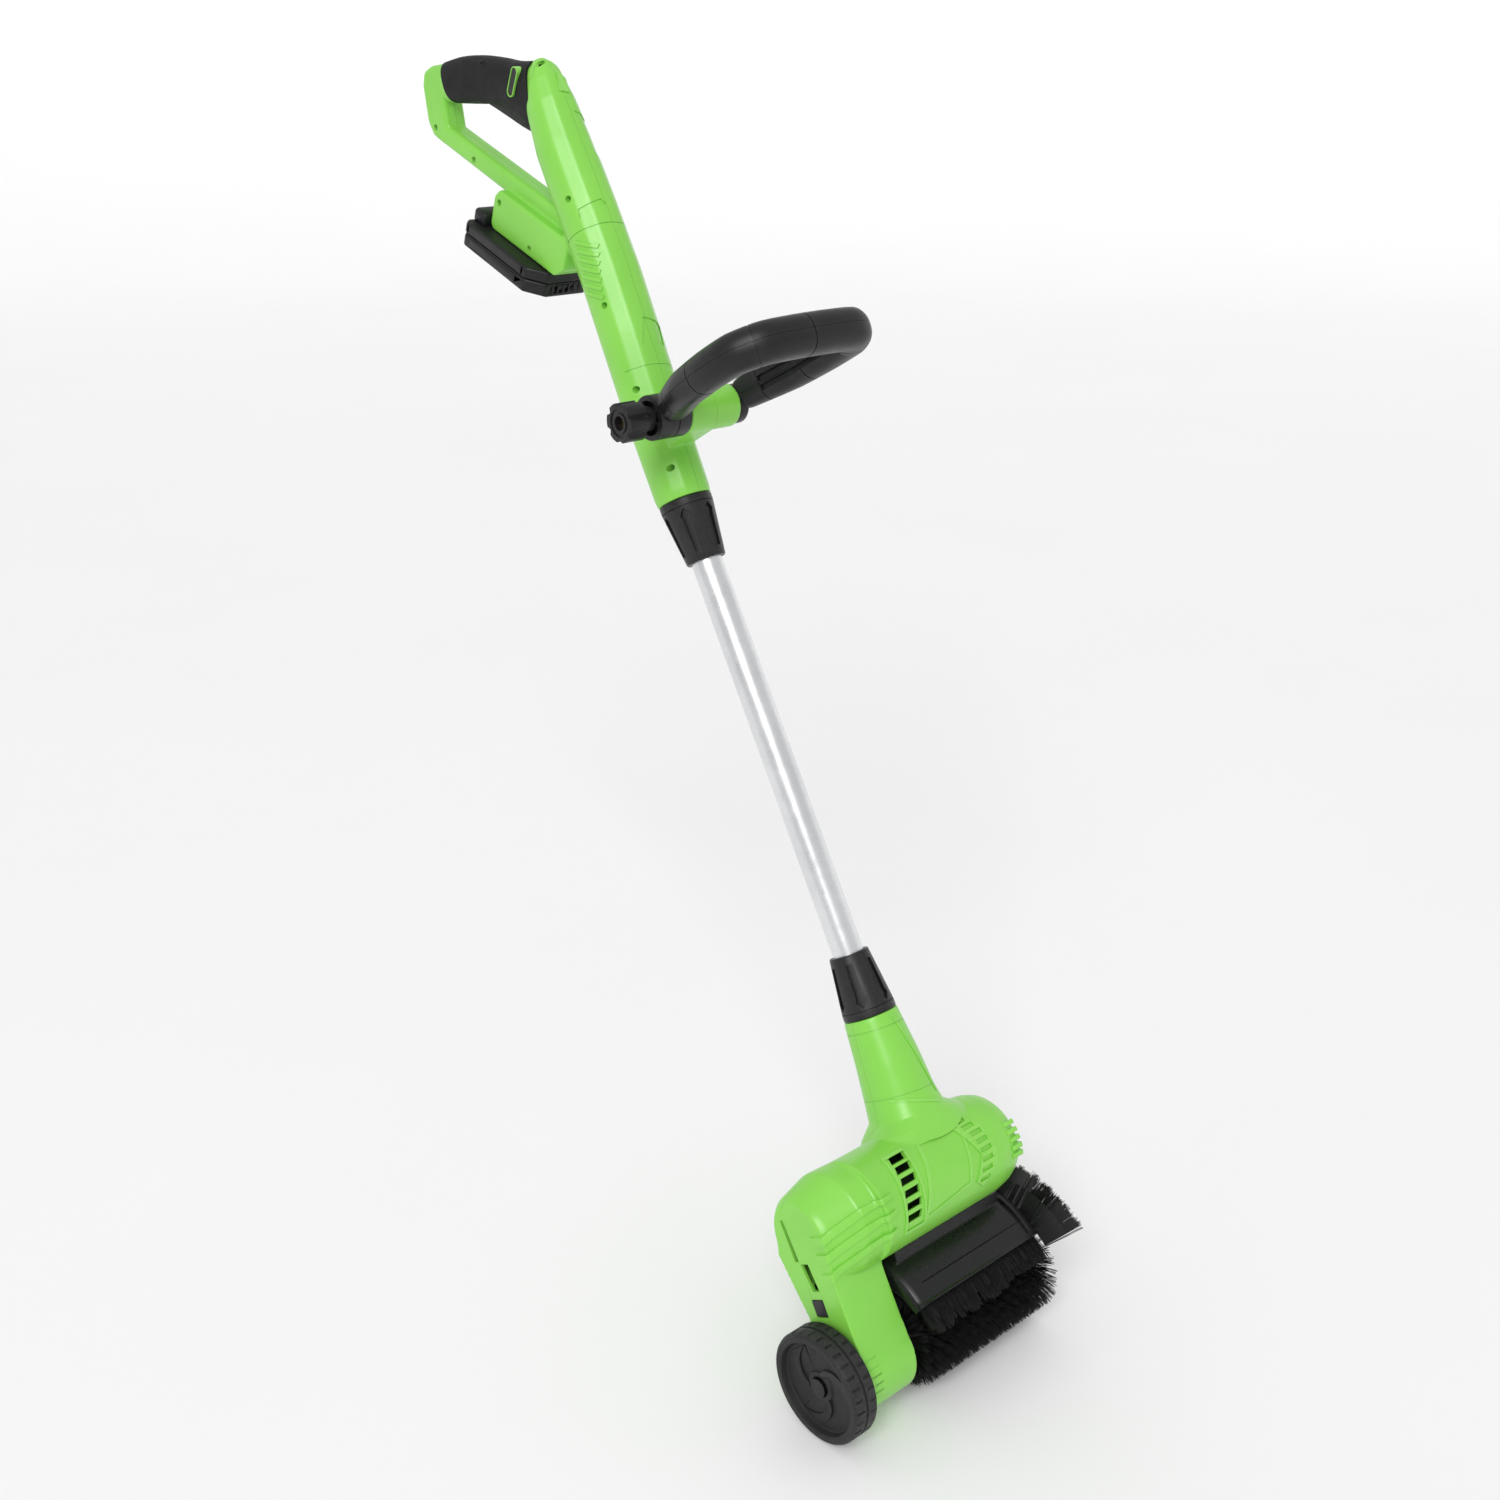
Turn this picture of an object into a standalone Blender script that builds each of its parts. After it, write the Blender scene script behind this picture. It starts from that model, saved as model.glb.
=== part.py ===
"""Cordless roller-brush sweeper on a telescoping tube.

Everything is laid out in the tool's own directions: X to the tool's right, Y back towards the person
holding it, Z up along the tube. All numbers below are millimetres in those directions, with zero on the
tube's axis. The helpers turn them into metres. The empty "tool" then leans the whole tool back to the
angle it is used at, and puts the scene's origin in the middle of the rear grip.
"""
import math

import bmesh
import bpy
from mathutils import Matrix, Vector

MM = 0.001
GAP = 0.3
LEAN = math.radians(30.6)
GRIP_POINT = (0.0, 60.0, 658.0)

TUBE_RADIUS = 14.0
TUBE_WALL = 1.4
TUBE_BOTTOM = -310.0
TUBE_TOP = 290.0
BORE_RADIUS = 14.5

COLLAR_LENGTH = 56.0
COLLAR_NARROW = 17.4
COLLAR_WIDE = 24.0
UPPER_COLLAR_FOOT = 173.0
LOWER_COLLAR_TOP = -194.0
UPPER_BODY_FOOT = UPPER_COLLAR_FOOT + COLLAR_LENGTH + GAP
NECK_TOP = LOWER_COLLAR_TOP - COLLAR_LENGTH - GAP

WALL = 2.6
LOOP_HALF_WIDTH = 11.5

SLOPE = math.atan2(0.773, 0.635)
BASE_HALF_WIDTH = 22.0
BATTERY_HALF_WIDTH = 37.5
BATTERY_FRONT = 390.0
BATTERY_REAR = 507.0
BATTERY_BOTTOM = -238.0
BATTERY_TOP = -261.7
RAIL_TOP = -280.0
RAIL_HALF_WIDTH = 17.0
RAIL_NECK = 13.4
BASE_REAR = 488.0

PIVOT = (-66.0, 289.0)
BOSS_HALF_WIDTH = 27.0
BOSS_RADIUS = 18.6
LOOP_RADIUS = 16.0
LOOP_MIDPLANE = 291.0
BOLT_RADIUS = 4.0

MOTOR_AXIS = (-5.0, -393.0)
MOTOR_HOUSING_RADIUS = 45.0
HOUSING_RIGHT = 76.0
BRUSH_AXIS = (29.0, -515.0)
ARM_LEFT = -138.0
ARM_RIGHT = -84.0
ARM_RADIUS = 37.5
SPLIT_REAR = 31.0

WHEEL_RADIUS = 49.0
WHEEL_OUTER = -168.0
WHEEL_INNER = -142.0
BRUSH_RADIUS = 48.5
BRUSH_LEFT = -75.0
BRUSH_RIGHT = 88.0
CORE_RADIUS = 22.0
GUARD_RADIUS = 67.0
GUARD_WALL = 2.5
DRIVE_PULLEY = 6.3
DRIVEN_PULLEY = 14.0
PULLEY_LEFT = -118.0
PULLEY_RIGHT = -104.0

GREEN = (0.21, 0.62, 0.05, 1.0)
BLACK = (0.012, 0.012, 0.013, 1.0)
SOFT_BLACK = (0.02, 0.02, 0.021, 1.0)
DARK_GREY = (0.03, 0.031, 0.032, 1.0)
SILVER = (0.75, 0.76, 0.78, 1.0)
STEEL = (0.45, 0.45, 0.46, 1.0)
COPPER = (0.6, 0.28, 0.12, 1.0)
BRASS = (0.7, 0.52, 0.2, 1.0)
BLUE = (0.03, 0.1, 0.3, 1.0)

for old in list(bpy.data.objects):
    bpy.data.objects.remove(old, do_unlink=True)

parts = bpy.data.collections.new("roller_brush_sweeper")
cutters = bpy.data.collections.new("cutters")
for collection in (parts, cutters):
    bpy.context.scene.collection.children.link(collection)


# ---------------------------------------------------------------- frame, bodies and materials

def empty(name, parent, place):
    pivot = bpy.data.objects.new(name, None)
    pivot.empty_display_size = 0.03
    parts.objects.link(pivot)
    pivot.parent = parent
    pivot.location = place
    return pivot


tool = empty("tool", None, (0, 0, 0))
tool.rotation_euler = (-LEAN, 0, 0)
tool.location = -(Matrix.Rotation(-LEAN, 3, "X") @ (Vector(GRIP_POINT) * MM))

pivots = {}


def add_pivot(body, x, y, z):
    pivots[body] = empty(body + "_pivot", tool, Vector((x, y, z)) * MM)


def slope_point(along, out):
    """(Y, Z) of a point given along the battery's slide direction and out from the strut."""
    c, s = math.cos(SLOPE), math.sin(SLOPE)
    return (along * c + out * s, along * s - out * c)


materials = {}


def material(name, colour, roughness, metallic=0.0):
    made = bpy.data.materials.new(name)
    made.use_nodes = True
    shader = made.node_tree.nodes["Principled BSDF"]
    shader.inputs["Base Color"].default_value = colour
    shader.inputs["Roughness"].default_value = roughness
    shader.inputs["Metallic"].default_value = metallic
    materials[name] = made


material("green_plastic", GREEN, 0.35)
material("black_plastic", BLACK, 0.45)
material("soft_grip", SOFT_BLACK, 0.7)
material("wheel_grey", DARK_GREY, 0.6)
material("tube_aluminium", SILVER, 0.3, 1.0)
material("steel", STEEL, 0.35, 1.0)
material("copper", COPPER, 0.4, 1.0)
material("brass", BRASS, 0.35, 1.0)
material("bristle", BLACK, 0.8)
material("rubber", SOFT_BLACK, 0.8)
material("cell_wrap", BLUE, 0.4)


# ---------------------------------------------------------------- mesh helpers

def mesh_object(name, bm):
    mesh = bpy.data.meshes.new(name)
    bmesh.ops.recalc_face_normals(bm, faces=bm.faces)
    bm.to_mesh(mesh)
    bm.free()
    made = bpy.data.objects.new(name, mesh)
    parts.objects.link(made)
    return made


def baked(obj):
    """The object as its modifiers leave it, as one plain mesh object."""
    graph = bpy.context.evaluated_depsgraph_get()
    graph.update()
    mesh = bpy.data.meshes.new_from_object(obj.evaluated_get(graph))
    bm = bmesh.new()
    bm.from_mesh(mesh)
    bmesh.ops.remove_doubles(bm, verts=bm.verts, dist=1e-6)
    bm.to_mesh(mesh)
    bm.free()
    name, place = obj.name, obj.matrix_world.copy()
    bpy.data.objects.remove(obj, do_unlink=True)
    mesh.transform(place)
    made = bpy.data.objects.new(name, mesh)
    parts.objects.link(made)
    return made


def box(name, low, high, bevel=0.0):
    bm = bmesh.new()
    bmesh.ops.create_cube(bm, size=1.0)
    low, high = Vector(low), Vector(high)
    for vertex in bm.verts:
        vertex.co = Vector((low[i] + (vertex.co[i] + 0.5) * (high[i] - low[i]) for i in range(3))) * MM
    made = mesh_object(name, bm)
    return rounded(made, bevel) if bevel else made


def rod(name, axis, centre, start, end, radius, end_radius=None, sides=20):
    """A round bar along X, Y or Z; centre holds the two other coordinates in X, Y, Z order."""
    bm = bmesh.new()
    far = radius if end_radius is None else end_radius
    bmesh.ops.create_cone(bm, cap_ends=True, segments=sides, radius1=radius * MM, radius2=far * MM,
                          depth=(end - start) * MM)
    middle = (start + end) / 2
    turn = {"X": Matrix.Rotation(math.pi / 2, 4, "Y"), "Y": Matrix.Rotation(-math.pi / 2, 4, "X"),
            "Z": Matrix.Identity(4)}[axis]
    place = {"X": (middle, centre[0], centre[1]), "Y": (centre[0], middle, centre[1]),
             "Z": (centre[0], centre[1], middle)}[axis]
    bm.transform(Matrix.Translation(Vector(place) * MM) @ turn)
    return mesh_object(name, bm)


def turned(name, profile, axis="Z", centre=(0, 0), sides=24):
    """A profile of (radius, height) points, outer side first from top to bottom, turned full circle."""
    bm = bmesh.new()
    ring = [bm.verts.new((radius * MM, 0, height * MM)) for radius, height in profile]
    for first, second in zip(ring, ring[1:] + ring[:1]):
        bm.edges.new((first, second))
    made = mesh_object(name, bm)
    screw = made.modifiers.new("turn", "SCREW")
    screw.steps = sides
    screw.render_steps = sides
    screw.use_merge_vertices = True
    screw.merge_threshold = 1e-6
    made = baked(made)
    turn = Matrix.Rotation(math.pi / 2, 4, "Y") if axis == "X" else Matrix.Identity(4)
    place = (0, centre[0], centre[1]) if axis == "X" else (centre[0], centre[1], 0)
    made.data.transform(Matrix.Translation(Vector(place) * MM) @ turn)
    face_out(made)
    return made


def face_out(obj):
    bm = bmesh.new()
    bm.from_mesh(obj.data)
    bmesh.ops.recalc_face_normals(bm, faces=bm.faces)
    bm.to_mesh(obj.data)
    bm.free()


def extruded(name, outlines, low, high, plane="YZ"):
    """Flat outlines filled (later ones are holes) and given a thickness along the third axis."""
    curve = bpy.data.curves.new(name, "CURVE")
    curve.dimensions = "2D"
    curve.fill_mode = "BOTH"
    curve.extrude = (high - low) / 2 * MM
    for outline in outlines:
        spline = curve.splines.new("POLY")
        spline.points.add(len(outline) - 1)
        for point, (a, b) in zip(spline.points, outline):
            point.co = (a * MM, b * MM, 0, 1)
        spline.use_cyclic_u = True
    drawn = bpy.data.objects.new(name, curve)
    parts.objects.link(drawn)
    made = baked(drawn)
    middle = (low + high) / 2 * MM
    columns = {"YZ": ((0, 1, 0), (0, 0, 1), (1, 0, 0)), "XY": ((1, 0, 0), (0, 1, 0), (0, 0, 1)),
               "XS": ((1, 0, 0), (0, math.cos(SLOPE), math.sin(SLOPE)),
                      (0, math.sin(SLOPE), -math.cos(SLOPE)))}[plane]
    turn = Matrix(columns).transposed().to_4x4()
    made.data.transform(turn @ Matrix.Translation((0, 0, middle)))
    face_out(made)
    return made


def loft(name, rings):
    """A closed skin through rings that all have the same number of points."""
    bm = bmesh.new()
    rows = [[bm.verts.new(Vector(point) * MM) for point in ring] for ring in rings]
    count = len(rows[0])
    for lower, upper in zip(rows, rows[1:]):
        for i in range(count):
            j = (i + 1) % count
            bm.faces.new((lower[i], lower[j], upper[j], upper[i]))
    bm.faces.new(rows[0])
    bm.faces.new(rows[-1])
    return mesh_object(name, bm)


def oval(centre, across, up, half_across, half_up, square=2.0, sides=16):
    """A ring of points round a centre; square above 2 makes the oval boxier."""
    points = []
    for i in range(sides):
        angle = 2 * math.pi * (i + 0.5) / sides
        c, s = math.cos(angle), math.sin(angle)
        a = math.copysign(abs(c) ** (2 / square), c) * half_across
        b = math.copysign(abs(s) ** (2 / square), s) * half_up
        points.append(Vector(centre) + Vector(across) * a + Vector(up) * b)
    return points


def arc(centre, radius, start, end, count):
    """Points on a circle, angles in degrees from the first direction to the second."""
    steps = [math.radians(start + (end - start) * i / (count - 1)) for i in range(count)]
    return [(centre[0] + radius * math.cos(a), centre[1] + radius * math.sin(a)) for a in steps]


def rounded(obj, width, segments=1, limit=35):
    bevel = obj.modifiers.new("round", "BEVEL")
    bevel.width = width * MM
    bevel.segments = segments
    bevel.limit_method = "ANGLE"
    bevel.angle_limit = math.radians(limit)
    return baked(obj)


def boolean(obj, other, operation, keep=False):
    step = obj.modifiers.new(operation.lower(), "BOOLEAN")
    step.operation = operation
    step.solver = "EXACT"
    step.object = other
    made = baked(obj)
    if not keep:
        bpy.data.objects.remove(other, do_unlink=True)
    return made


def join(obj, *others):
    for other in others:
        obj = boolean(obj, other, "UNION")
    return obj


def cut(obj, *others):
    for other in others:
        obj = boolean(obj, other, "DIFFERENCE")
    return obj


def copy(obj, name):
    made = bpy.data.objects.new(name, obj.data.copy())
    parts.objects.link(made)
    return made


def as_cutter(obj):
    """Keeps a shape in the scene as a cutter, out of the model."""
    parts.objects.unlink(obj)
    cutters.objects.link(obj)
    obj.hide_render = True
    obj.display_type = "WIRE"
    return obj


def place(obj, name, finish, body=None):
    """Names a finished sub-part, gives it its material and hangs it on its body's pivot."""
    parent = pivots[body] if body else tool
    obj.name = name
    obj.data.name = name
    offset = parent.location if body else Vector((0, 0, 0))
    obj.data.transform(Matrix.Translation(-offset))
    obj.data.materials.clear()
    obj.data.materials.append(materials[finish])
    obj.parent = parent
    obj.data.shade_smooth()
    obj.data.set_sharp_from_angle(angle=math.radians(35))
    return obj


def inset(outline, distance):
    """A convex outline moved inwards by a distance."""
    centre = Vector((sum(p[0] for p in outline), sum(p[1] for p in outline))) / len(outline)
    lines = []
    for a, b in zip(outline, outline[1:] + outline[:1]):
        a, b = Vector(a), Vector(b)
        along = (b - a).normalized()
        inward = Vector((-along.y, along.x))
        if inward.dot(centre - a) < 0:
            inward = -inward
        lines.append((a + inward * distance, along))
    points = []
    for (p, d), (q, e) in zip(lines[-1:] + lines[:-1], lines):
        across = d.x * e.y - d.y * e.x
        t = ((q - p).x * e.y - (q - p).y * e.x) / across
        points.append(tuple(p + d * t))
    return points


def slab(name, x_half, along, out):
    """A box laid along the battery's slide direction."""
    outline = [(-x_half, along[0]), (x_half, along[0]), (x_half, along[1]), (-x_half, along[1])]
    return extruded(name, [outline], out[0], out[1], "XS")


X_AXIS, Y_AXIS, Z_AXIS = (1, 0, 0), (0, 1, 0), (0, 0, 1)


# ---------------------------------------------------------------- handle housing

# height, centre in Y, radius
BODY_RINGS = [(UPPER_BODY_FOOT, 0, 23.8), (236, 0, 24.8), (290, -1.5, 25.4), (332, -4, 26.4), (380, -7, 26.7),
              (435, -10, 26.7), (500, -10.5, 26.2), (560, -10, 25.2), (597, -12, 22.0), (618, -14, 17.5),
              (630, -15.5, 12.5), (637, -16, 6.0)]

# top (Y, Z), bottom (Y, Z), half width: the grip from the body to the rear post
GRIP_STATIONS = [((-17, 637), (-4, 582), 20.0), ((8, 651), (17, 594), 18.0), ((30, 667), (39, 620.5), 16.5),
                 ((54, 683), (65, 640.5), 16.0), ((80, 697), (91.5, 656), 15.8), ((106, 707), (114, 669), 15.0)]

POST = [(100, 702), (124, 713), (139, 715), (148, 706), (160, 674), (159, 662), (145, 644), (134, 647),
        (123, 677), (104, 690)]
STRUT = [(159, 660), (12.5, 477), (-4, 490), (143, 670)]
BASE = [slope_point(a, b) for a, b in ((372, -300), (372, -272), (384, -262), (484, -262), (BASE_REAR, -266),
                                       (BASE_REAR, -292), (482, -300))]
NECK = [(-66, 273), (-66, 305), (-18, 310), (-18, 273)]


def grip_loft(name, shrink, first_shift=0.0, last_shift=0.0):
    """The grip's form, drawn in by shrink, its ends pushed outwards by the two shifts."""
    rings = []
    last = len(GRIP_STATIONS) - 1
    for i, (top, bottom, half_width) in enumerate(GRIP_STATIONS):
        top, bottom = Vector(top), Vector(bottom)
        middle, half = (top + bottom) / 2, (top - bottom).length / 2
        up = (top - bottom).normalized()
        along = Vector((up.y, -up.x))
        middle += along * ((i == last) * last_shift - (i == 0) * first_shift)
        rings.append(oval((0, middle.x, middle.y), X_AXIS, (0, up.x, up.y), half_width - shrink,
                          half - shrink, square=2.6))
    return loft(name, rings)


def body_loft(name, shrink, rings):
    return loft(name, [oval((0, y, z), X_AXIS, Y_AXIS, r - shrink, r - shrink, 2.2) for z, y, r in rings])


def slot_rim(name, side, grow):
    """The long ring round the lock-off button, on one flank of the grip."""
    start, end = sorted((side * 14.0, side * (20.2 + grow)))
    middle, half, radius = Vector((4.0, 629.0)), 9.0, 4.6 + grow
    turn = math.radians(-35)
    outline = []
    for centre, begin in ((half, -90), (-half, 90)):
        for y, z in arc((centre, 0), radius, begin, begin + 180, 7):
            outline.append((middle.x + y * math.cos(turn) - z * math.sin(turn),
                            middle.y + y * math.sin(turn) + z * math.cos(turn)))
    return extruded(name, [outline], start, end)


def build_housing():
    outer = body_loft("body", 0, BODY_RINGS)
    outer = cut(outer, grip_loft("grip_room", -GAP, 0.0, 0.0))
    core = grip_loft("core", 2.6, 8.0, 8.0)
    post = rounded(extruded("post", [POST], -LOOP_HALF_WIDTH, LOOP_HALF_WIDTH), 3.5)
    strut = rounded(extruded("strut", [STRUT], -LOOP_HALF_WIDTH, LOOP_HALF_WIDTH), 3.5)
    base = rounded(extruded("base", [BASE], -BASE_HALF_WIDTH, BASE_HALF_WIDTH), 3.0)
    neck = rounded(extruded("neck", [NECK], -15, 15), 3.0)
    boss = rod("boss", "X", PIVOT, -BOSS_HALF_WIDTH, BOSS_HALF_WIDTH, BOSS_RADIUS)
    post = cut(post, grip_loft("grip_room", -GAP, 0.0, 0.0))
    outer = join(outer, post, strut, base, core, neck, boss)

    hollow = body_loft("hollow", WALL, [(246, 0, 24.8)] + [(min(z, 632), y, r) for z, y, r in BODY_RINGS[2:-1]])
    grip_hollow = grip_loft("grip_hollow", 5.2, 6.0, 4.0)
    post_hollow = extruded("post_hollow", [inset(POST[1:8], WALL)], -9.0, 9.0)
    strut_hollow = extruded("strut_hollow", [inset(STRUT, WALL)], -9.0, 9.0)
    base_hollow = extruded("base_hollow", [inset(BASE, 3.1)], -18.9, 18.9)
    hollow = join(hollow, grip_hollow, post_hollow, strut_hollow, base_hollow)
    outer = cut(outer, hollow)

    tube_bore = rod("tube_bore", "Z", (0, 0), UPPER_BODY_FOOT - 5, 300, BORE_RADIUS)
    pivot_bore = rod("pivot_bore", "X", PIVOT, -40, 40, BOLT_RADIUS + GAP)
    rail_room = slab("rail_room", RAIL_HALF_WIDTH + 0.5, (390, 500), (RAIL_TOP - GAP, -265.5))
    rail_mouth = slab("rail_mouth", RAIL_NECK + GAP, (391, 499), (-266, -255))
    trigger_slot = extruded("trigger_slot", [TRIGGER_SLOT], -7.5, 7.5)
    pin_seat = rod("pin_seat", "X", TRIGGER_PIVOT, -9.1, 9.1, 1.5 + GAP, sides=10)
    return cut(outer, tube_bore, pivot_bore, rail_room, rail_mouth, trigger_slot, pin_seat)


TRIGGER_PIVOT = (64.0, 648.0)
TRIGGER_SLOT = [(5, 589), (4, 604), (14, 622), (30, 640), (60, 664), (72, 660), (76, 636), (40, 598), (24, 584)]

# flank holes: (Y, Z) of each housing screw
SCREWS = [(149, 664), (109, 610), (80, 553), (-20, 506), (-18, 408), (-17, 330), (-18, 256)]
SCREW_DEPTH = 6.0


def build_screws():
    for number, (y, z) in enumerate(SCREWS, 1):
        head = rod("head", "X", (y, z), -SCREW_DEPTH - 3.0, -SCREW_DEPTH, 2.5, sides=8)
        shank = rod("shank", "X", (y, z), -SCREW_DEPTH - 0.5, SCREW_DEPTH, 1.2, sides=6)
        place(join(head, shank), f"housing_screw_{number}", "steel")


def screw_posts():
    posts = []
    for y, z in SCREWS:
        post = rod("screw_post", "X", (y, z), -30, 30, 4.6, sides=8)
        posts.append(post)
    return posts


def build_handle():
    shell = build_housing()
    outline = body_loft("outline", 0.6, BODY_RINGS)
    outline = join(outline, rounded(extruded("p", [POST], -11, 11), 3.5),
                   rounded(extruded("s", [STRUT], -11, 11), 3.5),
                   rounded(extruded("b", [BASE], -21.4, 21.4), 3.0))
    for post in screw_posts():
        shell = join(shell, boolean(post, outline, "INTERSECT", keep=True))
    bpy.data.objects.remove(outline, do_unlink=True)
    for y, z in SCREWS:
        shell = cut(shell, rod("well", "X", (y, z), -40, -SCREW_DEPTH + GAP, 3.0, sides=8),
                    rod("thread", "X", (y, z), -40, SCREW_DEPTH + GAP, 1.6, sides=6))
    shell = cut(shell, rod("tube_way", "Z", (0, 0), UPPER_BODY_FOOT - 5, 445, BORE_RADIUS))
    for side, name in ((-1, "housing_left"), (1, "housing_right")):
        low, high = sorted((side * GAP / 2, side * 200))
        half = boolean(copy(shell, name), box("half", (low, -300, 100), (high, 300, 800)), "INTERSECT")
        half = join(half, slot_rim("rim", side, 0))
        half = cut(half, rod("button_bore", "X", (4, 629), -30, 30, 3.3, sides=12))
        place(half, name, "green_plastic")
    bpy.data.objects.remove(shell, do_unlink=True)
    build_screws()


def build_grip_covers():
    cover = grip_loft("cover", 0)
    cover = cut(cover, grip_loft("core_room", 2.3, 8.0, 8.0))
    cover = cut(cover, extruded("trigger_slot", [TRIGGER_SLOT], -8.0, 8.0))
    for side, name in ((-1, "grip_cover_left"), (1, "grip_cover_right")):
        low, high = sorted((side * GAP / 2, side * 60))
        half = boolean(copy(cover, name), box("half", (low, -60, 560), (high, 160, 760)), "INTERSECT")
        half = cut(half, slot_rim("rim_room", side, GAP))
        place(half, name, "soft_grip")
    bpy.data.objects.remove(cover, do_unlink=True)


build_handle()
build_grip_covers()


# ---------------------------------------------------------------- trigger, button and handle fittings

add_pivot("trigger", 0, *TRIGGER_PIVOT)
TRIGGER = [(14, 591), (20, 589.5), (30, 600), (46, 619), (58, 633), (66, 642), (68, 650), (62, 653), (50, 645),
           (34, 628), (20, 612), (14, 603)]


def build_trigger():
    blade = rounded(extruded("trigger", [TRIGGER], -6.6, 6.6), 1.2)
    blade = cut(blade, rod("pin_hole", "X", TRIGGER_PIVOT, -10, 10, 1.8, sides=12))
    place(blade, "trigger", "black_plastic", "trigger")
    place(rod("trigger_pin", "X", TRIGGER_PIVOT, -8.8, 8.8, 1.5, sides=10), "trigger_pin", "steel")
    switch = rounded(box("trigger_switch", (-6, 40, 652.5), (6, 60, 663)), 1.0)
    place(switch, "trigger_switch", "black_plastic")


add_pivot("lock_off", 0, 4, 629)


def build_lock_off():
    bar = rod("bar", "X", (4, 629), -19.0, 19.0, 2.9, sides=12)
    place(bar, "lock_off_button", "black_plastic", "lock_off")


build_trigger()
build_lock_off()


# ---------------------------------------------------------------- battery

add_pivot("battery", 0, *slope_point(446, -251))
add_pivot("battery_release", 0, *slope_point(503, -267))

CASE = [(-BATTERY_HALF_WIDTH, BATTERY_FRONT + 15), (-23, BATTERY_FRONT), (23, BATTERY_FRONT),
        (BATTERY_HALF_WIDTH, BATTERY_FRONT + 15), (BATTERY_HALF_WIDTH, BATTERY_REAR - 5), (32.5, BATTERY_REAR),
        (-32.5, BATTERY_REAR), (-BATTERY_HALF_WIDTH, BATTERY_REAR - 5)]
CASE_SEAM = -251.0
CASE_WALL = 2.0


def build_battery():
    bottom = rounded(extruded("battery_bottom_case", [CASE], CASE_SEAM + GAP, BATTERY_BOTTOM, "XS"), 1.5)
    bottom = cut(bottom, extruded("room", [inset(CASE, CASE_WALL)], CASE_SEAM - 1, BATTERY_BOTTOM - CASE_WALL, "XS"))
    place(bottom, "battery_bottom_case", "black_plastic", "battery")

    top = rounded(extruded("battery_top_case", [CASE], BATTERY_TOP, CASE_SEAM, "XS"), 1.5)
    top = join(top, slab("rail", RAIL_HALF_WIDTH, (404.5, 487), (RAIL_TOP, -265.5)),
               slab("rail_neck", RAIL_NECK, (406, 486), (-266, BATTERY_TOP + 1)),
               rounded(slab("catch", 28, (BASE_REAR + 0.8, BATTERY_REAR - 0.5), (-273, BATTERY_TOP + 1)), 1.5))
    top = cut(top, extruded("room", [inset(CASE, CASE_WALL)], BATTERY_TOP + CASE_WALL, CASE_SEAM + 1, "XS"),
              slab("button_room", 12.3, (497, 515), (-270.3, -263.7)))
    place(top, "battery_top_case", "black_plastic", "battery")

    cells = [slab("strip", 31.5, (412, 490), (-252, -250.2))]
    for i in range(5):
        y, z = slope_point(414 + 18.6 * i, -250.6)
        cells.append(rod("cell", "X", (y, z), -32.0, 32.0, 8.7, sides=10))
    place(join(*cells), "battery_cells", "cell_wrap", "battery")
    place(slab("release", 12.0, (501, 509), (-270, -264)), "battery_release_button", "black_plastic",
          "battery_release")
    place(slab("terminals", 13, (390.3, 403), (RAIL_TOP, -266.5)), "terminal_block", "black_plastic")


build_battery()


# ---------------------------------------------------------------- auxiliary handle

add_pivot("aux_handle", 0, *PIVOT)
add_pivot("aux_knob", -80, *PIVOT)

# X, Y and thickness of the bar against LOOP_RADIUS, from one arm round to the other
LOOP_PATH = [(38, -76, 0.75), (45, -96, 0.85), (56, -128, 0.97), (61, -165, 1.03), (62, -196, 1.05), (49, -213, 1.06),
             (16, -215, 1.06), (-14, -214, 1.06), (-42, -210, 1.05), (-60, -194, 1.03), (-64, -165, 1.0),
             (-61, -128, 0.97), (-50, -96, 0.9), (-44, -76, 0.8)]
RIGHT_HUB = (27.4, 38.0, 17.0)
LEFT_HUB = (-60.0, -27.4, 19.0)
KNOB = (-91.0, -60.4, 16.5)


def loop_bar():
    curve = bpy.data.curves.new("loop", "CURVE")
    curve.dimensions = "3D"
    curve.bevel_depth = LOOP_RADIUS * MM
    curve.bevel_resolution = 2
    curve.use_fill_caps = True
    spline = curve.splines.new("POLY")
    spline.points.add(len(LOOP_PATH) - 1)
    for point, (x, y, thickness) in zip(spline.points, LOOP_PATH):
        point.co = (x * MM, y * MM, LOOP_MIDPLANE * MM, 1)
        point.radius = thickness
    drawn = bpy.data.objects.new("loop", curve)
    parts.objects.link(drawn)
    made = baked(drawn)
    face_out(made)
    return made


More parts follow.
